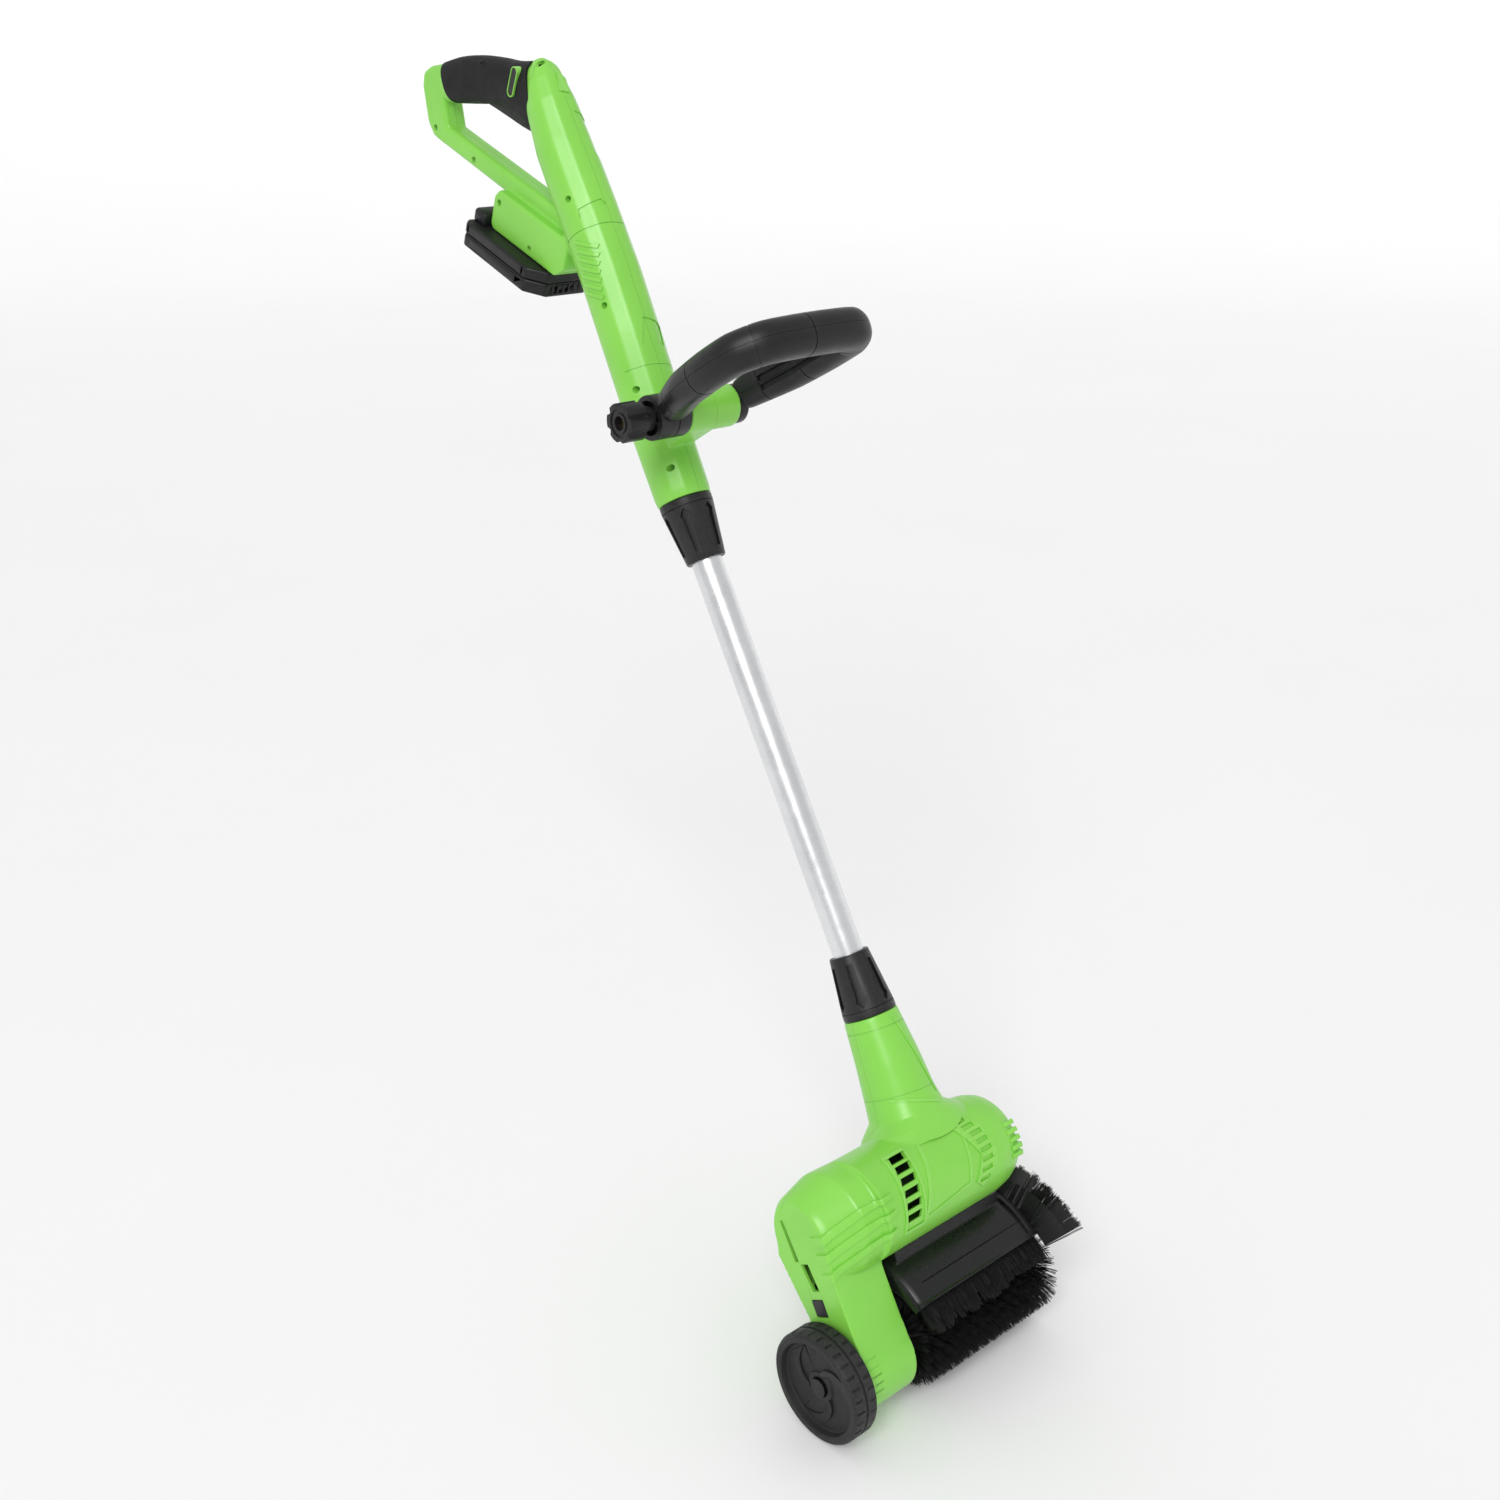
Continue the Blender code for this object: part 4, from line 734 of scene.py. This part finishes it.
def build_aux_handle():
    bar = cut(loop_form(0), rod("X", PIVOT, -27.4, 27.4, BOSS_ROOM, sides=64))
    for index in (7, 15, 26, 40, 50, 62, 70):
        bar = cut(bar, loop_seam(index))
    # shallow tray along the inside of the loop
    path = [(x, y) for x, y, *_ in through(LOOP_PATH[1:-1], 5)]
    centre = Vector((0, -150))
    inner = [tuple(Vector(p) + (centre - Vector(p)).normalized() * 12.6) for p in path]
    well = extruded([inner], LOOP_MIDPLANE - 6.5, LOOP_MIDPLANE - 1.5, "XY")
    well_top = extruded([inner], LOOP_MIDPLANE + 1.5, LOOP_MIDPLANE + 6.5, "XY")
    bar = cut(bar, well, well_top)
    hubs = [rounded(rod("X", PIVOT, 27.4, 38.0, 17.0, sides=64), 1.6, 3),
            rounded(rod("X", PIVOT, -60.0, -27.4, 19.0, sides=64), 1.2, 3)]
    top = common(copy(bar), block((-90, -260, LOOP_MIDPLANE + GAP / 2), (90, -20, 330)))
    top = union(top, *hubs)
    top = cut(top, rod("X", PIVOT, -70, 60, 4.3, sides=32), rod("X", PIVOT, 31.5, 60, 8.2, sides=6),
              rod("X", PIVOT, -70, -50, 14.6, sides=64))
    ring = turned([(15.9, 36.9), (15.9, 39.0), (12.4, 39.0), (12.4, 36.9)], "X", PIVOT, 64)
    top = cut(top, ring)
    groove = turned([(20.0, -41.6), (20.0, -40.6), (18.3, -40.6), (18.3, -41.6)], "X", PIVOT, 64)
    top = cut(top, groove)
    bottom = common(bar, block((-90, -260, 240), (90, -20, LOOP_MIDPLANE - GAP / 2)))
    bottom = cut(bottom, rod("X", PIVOT, 10, 60, 17.3, sides=64), rod("X", PIVOT, -70, -10, 19.3, sides=64))
    place(top, "skin_aux_handle_top", BLACK, "black_plastic", "aux_handle", "aux_handle_top")
    place(bottom, "skin_aux_handle_bottom", BLACK, "black_plastic", "aux_handle", "aux_handle_bottom")


def build_knob():
    outline = []
    for i in range(120):
        angle = 2 * math.pi * i / 120
        dip = max(0.0, math.cos(6 * angle) - 0.35) / 0.65
        reach = 16.5 - 2.8 * dip
        outline.append((PIVOT[0] + reach * math.cos(angle), PIVOT[1] + reach * math.sin(angle)))
    knob = rounded(extruded([outline], -91.0, -71.5), 2.6, 4, limit=60)
    knob = union(knob, rod("X", PIVOT, -74, -60.4, 10.5, sides=64))
    knob = cut(knob, rod("X", PIVOT, -110, -55, 4.3, sides=32), rod("X", PIVOT, -84, -75, 7.9, sides=6),
               rod("X", PIVOT, -110, -83, 6.0, sides=48),
               turned([(11.6, -89.9), (11.6, -93), (8.6, -93), (8.6, -89.9)], "X", PIVOT, 64))
    place(knob, "skin_aux_knob", BLACK, "black_plastic", "aux_knob", "aux_knob")


# ---------------------------------------------------------------- collars and tube

def build_collar(name, foot, narrow_at_foot, body):
    """A tapered nut with long grip pads standing between shallow pockets."""
    length = 56.0
    narrow, wide = (foot, foot + length) if narrow_at_foot else (foot + length, foot)
    way = 1 if wide > narrow else -1
    outer = [(23.3, wide), (24.0, wide - way * 0.8), (23.9, wide - way * 6), (18.0, narrow + way * 1.0),
             (17.4, narrow)]
    inner = [(BORE_RADIUS, narrow), (BORE_RADIUS, narrow + way * 5), (16.0, narrow + way * 6), (21.6, wide)]
    collar = turned(outer + inner)
    for i in range(6):
        angle = 2 * math.pi * (i + 0.2) / 6
        pocket = [(-3.0, way * 8), (3.0, way * 8), (3.6, way * 38), (5.2, way * 41), (0, way * 47),
                  (-5.2, way * 41), (-3.6, way * 38)]
        outline = [(a, narrow + b) for a, b in pocket]
        prism = extruded([outline], -40, 0, "XZ")
        prism.data.transform(Matrix.Rotation(angle, 4, "Z"))
        cone = rod("Z", (0, 0), foot - 1, foot + length + 1,
                   16.3 if narrow_at_foot else 22.2, 22.2 if narrow_at_foot else 16.3, 96)
        collar = cut(collar, boolean(prism, cone))
    ring = turned([(26, wide - way * 6.6), (26, wide - way * 7.4), (22.7, wide - way * 7.4),
                   (22.7, wide - way * 6.6)])
    collar = cut(collar, ring)
    place(collar, "skin_" + name, BLACK, "black_plastic", body, name)


def build_tube():
    tube = turned([(TUBE_RADIUS, 290), (TUBE_RADIUS, -310), (12.6, -310), (12.6, 290)], sides=128)
    place(tube, "skin_shaft_tube", ALUMINIUM, "tube_aluminium", "shaft", "shaft_tube")
    build_collar("upper_collar", 173.0, True, "upper_collar")
    build_collar("lower_collar", -250.0, False, "lower_collar")


# ---------------------------------------------------------------- head housing

# height, centre in Y, half width in X, half depth in Y
NECK_RINGS = [(NECK_TOP, 0, 23.6, 23.6), (-256, 0, 24.3, 24.3), (-293, -1, 27.9, 27.9), (-325, 0, 30.9, 30.9),
              (-340, -1, 33.5, 33), (-350, -2, 50, 36), (-364, -3, 64, 39), (-385, -5, 72, 40)]
# X, centre (Y, Z), half depth in Y, half height in Z
BARREL_RINGS = [(-95, MOTOR_AXIS, 45, 45), (48, MOTOR_AXIS, 45, 45), (62, MOTOR_AXIS, 42.8, 42.8),
                (71, MOTOR_AXIS, 39.5, 39.5), (76, MOTOR_AXIS, 35, 35)]
SHOULDER_RINGS = [(-80, MOTOR_AXIS, 44.8, 44.8), (-112, (6, -395), 44.5, 45.5), (-133, (20, -402), 36, 41.5),
                  (-138, (20, -402), 32, 37)]
ARM_LEFT, ARM_RIGHT = -138.0, -84.0
HEAD_SCREWS = [(-126, -388), (-96, -440), (54, -380), (54, -408)]
SPLIT_REAR = 31.0


def arm_outline(shrink):
    front = [(-12 + shrink, -398), (-6 + shrink, -450)]
    foot = arc(BRUSH_AXIS, 37.5 - shrink, 165, 385, 49)
    rear = [(45 - shrink, -468), (51 - shrink, -440), (57 - shrink, -410), (48 - shrink, -390),
            (34, -375 - shrink), (0, -375 - shrink)]
    return front + foot + rear


def side_form(rings, shrink, sides=72):
    made = []
    for i, (x, (y, z), half_y, half_z) in enumerate(rings):
        x += shrink * ((i == 0) - (i == len(rings) - 1)) * (1 if rings[-1][0] > rings[0][0] else -1)
        made.append(oval((x, y, z), Y_AXIS, Z_AXIS, half_y - shrink, half_z - shrink, 2.0, sides))
    return loft(made)


def neck_form(shrink, rings):
    return loft([oval((0, y, z), X_AXIS, Y_AXIS, a - shrink, b - shrink, 2.2, 64) for z, y, a, b in rings])


def head_pieces(shrink):
    rings = [(-332, 0, 31, 31)] + NECK_RINGS[4:] if shrink > 0 else NECK_RINGS
    arm = extruded([arm_outline(shrink)], ARM_LEFT + shrink, ARM_RIGHT - shrink)
    if shrink <= 0:
        arm = rounded(arm, 4.0, 4, limit=50)
    return [neck_form(shrink, rings), side_form(BARREL_RINGS, shrink), side_form(SHOULDER_RINGS, shrink), arm]


def head_form(shrink):
    return union(*head_pieces(shrink))


def sector(outer, inner, start, end, count, centre=MOTOR_AXIS):
    """Part of a ring seen along X; angles in degrees above the horizontal, on the front side."""
    return (arc(centre, outer, 180 - start, 180 - end, count) + arc(centre, inner, 180 - end, 180 - start, count))


def on_barrel(outline, inner, outer, front=True):
    """A flat (X, Z) outline pushed through the barrel's front, kept between two radii."""
    prism = extruded([outline], -70, -8, "XZ")
    tube = turned([(outer, -90), (outer, 90), (inner, 90), (inner, -90)], "X", MOTOR_AXIS, 128)
    return common(prism, tube)


def height_of(angle, radius=45.0):
    return MOTOR_AXIS[1] + radius * math.sin(math.radians(angle))


def build_head_shell():
    skin = fused(head_pieces(0), 1.15, 4)

    # front ridges stepping round the shoulder
    ridges = (((-85, -381), (-112, -383), (-141, -396)), ((-86, -395), (-112, -398), (-141, -411)),
              ((-88, -410), (-112, -414), (-141, -428)))
    fat = fused(head_pieces(-2.3), 1.6, 3)
    for a, b, c in ridges:
        upper, lower = [a, b, c], [(c[0], c[1] - 7.5), (b[0], b[1] - 6.5), (a[0], a[1] - 4.0)]
        skin = union(skin, common(extruded([upper + lower], -70, 2, "XZ"), fat, keep=True))
    bpy.data.objects.remove(fat, do_unlink=True)

    # raised panel, blind vent and its ribs, vent frame, claw fins on the barrel
    skin = union(skin, on_barrel([(-32, -359), (18, -359), (4, -411), (-55, -419)], 44.0, 45.9))
    skin = cut(skin, on_barrel([(-29, -362), (14.5, -362), (1.5, -408), (-50, -415.5)], 45.2, 47.0))
    lens = [(6, -356), (23, -355), (36, -368), (40, -395), (36, -407), (18, -419), (10, -412), (22, -392)]
    skin = union(skin, on_barrel(lens, 44.0, 46.2))
    for i in range(8):
        angle = 46 - 10.2 * i
        z = height_of(angle)
        left = 12 + 12 * math.sin(math.pi * (i + 0.5) / 8) * 0.9
        skin = cut(skin, on_barrel([(left, z - 1.8), (left, z + 1.8), (left + 13, z + 1.8), (left + 13, z - 1.8)],
                                   44.4, 47.0))
    frame_outline = [(-70, -357), (-45, -357), (-54, -421), (-79, -421)]
    skin = union(skin, on_barrel(frame_outline, 44.0, 46.1))
    skin = cut(skin, on_barrel([(-67.6, -359.5), (-47.6, -359.5), (-56, -418.5), (-76.4, -418.5)], 44.9, 47.0))
    for i in range(5):
        angle = 16 - 9.6 * i
        fin = extruded([sector(44.2, 36.0, angle - 2.8, angle + 2.8, 5)], 60, 72.5)
        skin = union(skin, rounded(fin, 1.2, 2))

    # hollow with the vents, wells and seats
    skin = cut(skin, head_form(WALL))
    for i in range(6):
        angle = 43 - 12.8 * i
        z = height_of(angle)
        middle = -56 - 10 * i / 5
        shift = 1.2
        outline = [(middle - 8.5 + shift, z + 3.0), (middle + 8.5 + shift, z + 3.0),
                   (middle + 8.5 - shift, z - 3.0), (middle - 8.5 - shift, z - 3.0)]
        skin = cut(skin, on_barrel(outline, 38.0, 49.0))
    skin = union(skin, rod("X", BRUSH_AXIS, -137, -121, 15.0), rod("X", BRUSH_AXIS, -101, -85, 15.0))
    skin = cut(skin, rod("X", BRUSH_AXIS, -130.3, -120, 11.3), rod("X", BRUSH_AXIS, -102, -91.7, 11.3),
               rod("X", BRUSH_AXIS, -92, -80, 6.0), rod("X", BRUSH_AXIS, -145, -129, 4.3),
               rod("Z", (0, 0), -320, NECK_TOP + 5, BORE_RADIUS, sides=64), rod("Z", (0, 0), -340, -315, 8.0),
               block((-143, 17, -466), (-132, 33, -450)))
    within = head_form(1.6)
    for x, z in HEAD_SCREWS:
        skin = union(skin, common(rod("Y", (x, z), -60, 90, 4.6, sides=24), within, keep=True))
    bpy.data.objects.remove(within, do_unlink=True)
    for x, z in HEAD_SCREWS:
        skin = cut(skin, rod("Y", (x, z), 33.5, 100, 3.0, sides=24), rod("Y", (x, z), 12, 60, 1.6, sides=16))

    # left side: the slot and the opening beside the belt
    skin = cut(skin, extruded([[(33.5, -380), (37.5, -380), (36.5, -417), (31.5, -417)]], -144, -134),
               extruded([[(20, -419), (30, -419), (26.5, -443), (17, -443)]], -144, -134))
    # grooves beside the wheel
    for i in range(5):
        low = 14 - 11 * i
        skin = cut(skin, extruded([sector(38.5, 37.0, low, low + 2.2, 3, BRUSH_AXIS)], -139, -124))
    # neck: lines across and down the front
    wide_neck = neck_form(-0.8, NECK_RINGS[:5] + [(-350, -2, 36, 36)])
    for line in (strip((3, -258), (19, -330), 2.0), strip((-27, -322), (14, -338), 2.2)):
        skin = union(skin, common(extruded([line], -60, -12, "XZ"), wide_neck, keep=True))
    bpy.data.objects.remove(wide_neck, do_unlink=True)
    for z, lift in ((-262, 2), (-322, 4)):
        ring = extruded([strip((-50, z + lift), (50, z - lift), 0.9)], -60, 60, "XZ")
        skin = cut(skin, boolean(ring, neck_form(0.6, NECK_RINGS[:5] + [(-350, -2, 36, 36)])))
    return skin


def build_head():
    skin = build_head_shell()
    for sign, name in ((-1, "head_front_shell"), (1, "head_rear_shell")):
        far = sign * 200
        step = sign * GAP / 2
        side = [(step, -200), (step, -340), (SPLIT_REAR + step, -372), (SPLIT_REAR + step, -600), (far, -600),
                (far, -200)]
        half = common(copy(skin), extruded([side], -250, 250))
        place(half, "skin_" + name, GREEN, "green_plastic", "shaft", name)
    bpy.data.objects.remove(skin, do_unlink=True)


# ---------------------------------------------------------------- guard, brush and wheel

def guard_sector(outer, inner, start, end, count):
    return arc(BRUSH_AXIS, outer, start, end, count) + arc(BRUSH_AXIS, inner, end, start, count)


def polar(x, radius, degrees):
    angle = math.radians(degrees)
    return (x, BRUSH_AXIS[0] + radius * math.cos(angle), BRUSH_AXIS[1] + radius * math.sin(angle))


def build_guard():
    """The hood turned about the brush, domed at its left end, with a saddle under the barrel."""
    bulge = through([(42, 67), (68, 67), (80, 68.5), (88, 71.5), (97, 75), (106, 76.8), (114, 76), (124, 73.2),
                     (134, 70.2), (145, 67.6), (149.6, 67.6), (152.5, 69.4)], 4)
    rings = []
    for x, size in ((-79.8, 0.86), (-79.2, 0.90), (-77.4, 0.945), (-74, 0.975), (-69, 0.992), (-62, 1.0), (20, 1.0),
                    (55, 0.995), (66, 0.985), (71, 0.975)):
        rings.append([(x, *BRUSH_AXIS)] + [polar(x, r * size, a) for a, r in bulge])
    hood = loft(rings)
    hood = cut(hood, rod("X", BRUSH_AXIS, -77.4, 90, 64.4 * 0.975, sides=144), rod("X", BRUSH_AXIS, -90, 90, 54.5))
    saddle = extruded([[(-6, -456), (-8, -440), (34, -437), (40, -460)]], -70, 60)
    saddle = cut(saddle, rod("X", MOTOR_AXIS, -100, 120, 45.5, sides=96),
                 rod("X", BRUSH_AXIS, -100, 120, 65.4, sides=96))
    guard = fused([hood, saddle], 0.8, 3)
    guard = union(guard, extruded([guard_sector(65.2, 54, 43, 151.5, 41)], 68.2, 70.6))
    # a step across the front, a sunk window, a dimple and the stiffening fin at the right end
    fin = loft([[(60.5 + w, BRUSH_AXIS[0] + r * math.cos(math.radians(a)), BRUSH_AXIS[1] + r * math.sin(math.radians(a)))
                 for w, r in ((0, 64), (3.4, 64), (2.4, top), (1.0, top))]
                for a, top in ((104, 75.5), (112, 77.6), (120, 76.6), (128, 74.2), (136, 71.8), (148, 68.8))])
    step = extruded([guard_sector(90, 67.9, 137.5, 138.6, 3)], -64, 60)
    window = common(extruded([guard_sector(90, 66, 112, 121, 9)], 0, 26),
                    loft([[(x, *BRUSH_AXIS)] + [polar(x, r, a) for a, r in bulge] for x in (-5, 40)]))
    floor_of = loft([[(x, *BRUSH_AXIS)] + [polar(x, r - 0.9, a) for a, r in bulge] for x in (-6, 41)])
    guard = cut(guard, step, boolean(window, floor_of))
    bm = bmesh.new()
    bmesh.ops.create_uvsphere(bm, u_segments=24, v_segments=16, radius=2.4)
    bm.transform(Matrix.Translation(polar(14, 73.6, 116.5)))
    guard = union(guard, make(bm), fin)
    place(guard, "skin_brush_guard", GLOSS, "black_plastic", "shaft", "brush_guard")


def merged(first, *others):
    """One object holding several meshes, strand tips kept."""
    for obj in (first, *others):
        if "tip" not in obj.data.attributes:
            obj.data.attributes.new("tip", "FLOAT", "POINT")
    with bpy.context.temp_override(active_object=first, selected_editable_objects=[first, *others]):
        bpy.ops.object.join()
    return first


def build_skirt():
    """The row of bristles hanging from the guard's front edge, gathered in tufts."""
    items = []
    top, bottom = Vector((-23.4, -479.7)), Vector((-37.2, -508.9))
    count = 30
    for tuft in range(count):
        x = -74 + 139 * tuft / (count - 1)
        lean = random.uniform(-2.5, 2.5)
        full = random.uniform(0.82, 1.0)
        for _ in range(30):
            spot = x + random.gauss(0, 1.3)
            depth = random.uniform(-0.7, 0.7)
            tip = top.lerp(bottom, full * random.uniform(0.9, 1.0))
            flare = (spot - x) * random.uniform(0.3, 1.4) + lean
            root = (spot, top.x + depth, top.y)
            items.append((root, (spot + flare, tip.x + depth * 2.2, tip.y), (random.uniform(-0.6, 0.6), 0.4, 0)))
    middle = top.lerp(bottom, 0.62)
    sheet = extruded([[(top.x - 0.5, top.y), (top.x + 0.5, top.y), (middle.x + 0.4, middle.y),
                       (middle.x - 0.4, middle.y)]], -74, 66)
    place(merged(strands(items, 0.30), sheet), "skin_guard_skirt", BRISTLE, "bristle", "shaft", "guard_skirt",
          sharp=70)


def build_fringe():
    """The fan of bristles round the guard's right end."""
    items = []
    tufts = 34
    for tuft in range(tufts):
        middle = 97 + 66 * (tuft + 0.5) / tufts
        stray = random.uniform(-1.6, 1.6)
        full = random.uniform(0.88, 1.0)
        for _ in range(34):
            angle = middle + random.gauss(0, 0.8)
            inner = random.uniform(62.9, 65.0)
            length = full * random.uniform(0.92, 1.0)
            x0, x1 = 71.6, 71.6 + 24.4 * length
            r1 = inner + 30.4 * length
            end = angle + (angle - middle) * 0.9 + stray
            items.append((polar(x0, inner, angle), polar(x1, r1, min(max(end, 95), 165)),
                          (random.uniform(0.2, 1.2), 0, random.uniform(-0.4, 0.4))))
    web = turned([(81.0, 84.9), (65, 71.6), (63.2, 71.6), (80.0, 85.7)], "X", BRUSH_AXIS, 144)
    wedge = [BRUSH_AXIS] + arc(BRUSH_AXIS, 130, 97, 163, 13)
    web = common(web, extruded([wedge], 60, 140))
    place(merged(strands(items, 0.30), web), "skin_guard_fringe", BRISTLE, "bristle", "shaft", "guard_fringe",
          sharp=70)


def build_brush():
    """Tufts set in rows that wind round the core."""
    items = []
    rows, around = 19, 26
    for row in range(rows):
        x = -72 + 157 * row / (rows - 1)
        reach = 48.3 if x > -62 else 41.5 + (x + 75) * 0.52
        for k in range(around):
            middle = 360 * (k + 0.5 * (row % 2)) / around + row * 4.0
            for _ in range(20):
                dx, da = random.gauss(0, 0.8), random.gauss(0, 1.6)
                end = reach - random.uniform(0.0, 2.2)
                x_tip = min(max(x + dx * 3.0, -74.8), 87.8)
                items.append((polar(x + dx, 21.8, middle + da * 1.4), polar(x_tip, end, middle + da * 1.9),
                              (random.uniform(-0.5, 0.5),) * 3))
    place(strands(items, 0.32), "skin_brush_bristles", BRISTLE, "bristle", "brush", "brush_bristles", sharp=70)


def build_wheel():
    profile = [(45.6, -142.3), (48.2, -143.4), (49, -145.2), (49, -164.6), (48.0, -166.8), (46.2, -168),
               (42.2, -168), (41.0, -167.2), (39.6, -162.6), (38.4, -161.6), (14, -160.2), (13.0, -161.6),
               (9.2, -161.6), (9.0, -159.6), (5.3, -159.6), (5.3, -138.8), (10, -138.8), (12, -150),
               (40, -152), (42, -142.3)]
    wheel = turned(profile, "X", BRUSH_AXIS, 128)
    notches = 30
    for half, shift in (((-170, -158.5), 0.0), ((-151.5, -140), 0.5)):
        for i in range(notches):
            angle = 360 * (i + shift) / notches
            tooth = arc(BRUSH_AXIS, 52, angle - 1.3, angle + 1.3, 3) + arc(BRUSH_AXIS, 48.3, angle + 1.3,
                                                                          angle - 1.3, 3)
            wheel = cut(wheel, extruded([tooth], half[0], half[1]))
    groove = turned([(50, -156.2), (50, -153.8), (48.2, -153.8), (48.2, -156.2)], "X", BRUSH_AXIS, 128)
    wheel = cut(wheel, groove)
    # three curved blades in low relief on the dished face
    for blade in range(3):
        outline = []
        for i in range(13):
            t = i / 12
            outline.append((13 + 23.5 * t, 120 * blade + 62 * t ** 1.3))
        for i in range(13):
            t = 1 - i / 12
            outline.append((13 + 23.5 * t, 120 * blade + 16 + 74 * t ** 1.1))
        flat = [(BRUSH_AXIS[0] + r * math.cos(math.radians(a)), BRUSH_AXIS[1] + r * math.sin(math.radians(a)))
                for r, a in outline]
        wheel = union(wheel, extruded([flat], -162.4, -159.9))
    place(wheel, "skin_wheel", RUBBER, "wheel_grey", "wheel", "wheel")


# ---------------------------------------------------------------- small fittings

def screw_head(axis, centre, face, way):
    """A domed cross-head screw whose top is at face, standing towards way along an axis."""
    head = rounded(rod(axis, centre, *sorted((face, face - way * 1.8)), 2.6, sides=32), 0.6, 3)
    for turn in (0, 1):
        a, b = (1.7, 0.35) if turn else (0.35, 1.7)
        low = {"X": (face - 0.8, centre[0] - a, centre[1] - b), "Y": (centre[0] - a, face - 0.8, centre[1] - b)}
        high = {"X": (face + 0.8, centre[0] + a, centre[1] + b), "Y": (centre[0] + a, face + 0.8, centre[1] + b)}
        head = cut(head, block(low[axis], high[axis]))
    return head


def build_fittings():
    extra = screw_head("X", (46, 671), -13.6, -1)
    place(extra, "grip_screw", DARK_STEEL, "steel", "handle")


build_housing()
build_grip()
build_trigger()
build_battery()
build_aux_handle()
build_knob()
build_tube()
build_head()
build_guard()
build_skirt()
build_fringe()
build_brush()
build_wheel()
build_fittings()


# ---------------------------------------------------------------- stage, lights and camera

FLOOR_HEIGHT = -1.0432


def build_stage():
    profile = [(0.001, 0.0), (2.0, 0.0), (6.0, 0.0)]
    profile += [(6.0 + 4.0 * math.sin(a), 4.0 - 4.0 * math.cos(a)) for a in (math.pi / 2 * i / 16 for i in range(1, 17))]
    bm = bmesh.new()
    sides = 96
    rows = [[bm.verts.new((r * math.cos(2 * math.pi * k / sides), r * math.sin(2 * math.pi * k / sides), h))
             for k in range(sides)] for r, h in profile]
    for low, high in zip(rows, rows[1:]):
        for k in range(sides):
            bm.faces.new((low[k], low[(k + 1) % sides], high[(k + 1) % sides], high[k]))
    bm.faces.new(rows[0])
    floor = make(bm, "floor")
    floor.data.shade_smooth()
    floor.location.z = FLOOR_HEIGHT
    tone = bpy.data.materials.new("pale_floor")
    tone.use_nodes = True
    tree = tone.node_tree
    shader = tree.nodes["Principled BSDF"]
    place_of = add(tree, "ShaderNodeTexCoord").outputs["Object"]
    cloud = noise(tree, place_of, 1.3, 3.0)
    link(tree, mixed(tree, cloud, (0.90, 0.90, 0.90), (0.93, 0.93, 0.93)), shader.inputs["Base Color"])
    shader.inputs["Roughness"].default_value = 0.75
    floor.data.materials.append(tone)

    world = bpy.data.worlds.new("studio")
    world.use_nodes = True
    world.node_tree.nodes["Background"].inputs["Color"].default_value = (1.0, 1.0, 1.0, 1.0)
    world.node_tree.nodes["Background"].inputs["Strength"].default_value = 0.69
    scene.world = world
    scene.view_settings.view_transform = "Standard"


def soft_light(name, place_at, target, size, power):
    data = bpy.data.lights.new(name, "AREA")
    data.shape = "DISK"
    data.size = size
    data.energy = power
    lamp = bpy.data.objects.new(name, data)
    scene.collection.objects.link(lamp)
    lamp.location = place_at
    lamp.rotation_euler = (Vector(target) - Vector(place_at)).to_track_quat("-Z", "Y").to_euler()


def build_camera():
    data = bpy.data.cameras.new("camera")
    data.sensor_width = 36.0
    data.lens = 42.636
    camera = bpy.data.objects.new("camera", data)
    scene.collection.objects.link(camera)
    camera.matrix_world = Matrix(((0.7462, 0.2518, -0.6163, -0.9783), (-0.6657, 0.2817, -0.6910, -1.4530),
                                  (-0.0005, 0.9259, 0.3778, 0.0499), (0, 0, 0, 1)))
    scene.camera = camera


build_stage()
sun = bpy.data.objects.new("sun", bpy.data.lights.new("sun", "SUN"))
sun.data.energy = 1.25
sun.data.angle = math.radians(28)
sun.rotation_euler = Vector((0.66, 0.48, -0.70)).to_track_quat("-Z", "Y").to_euler()
scene.collection.objects.link(sun)
soft_light("key", (-2.2, -1.6, 1.6), (0, -0.2, -0.4), 1.0, 10)
build_camera()
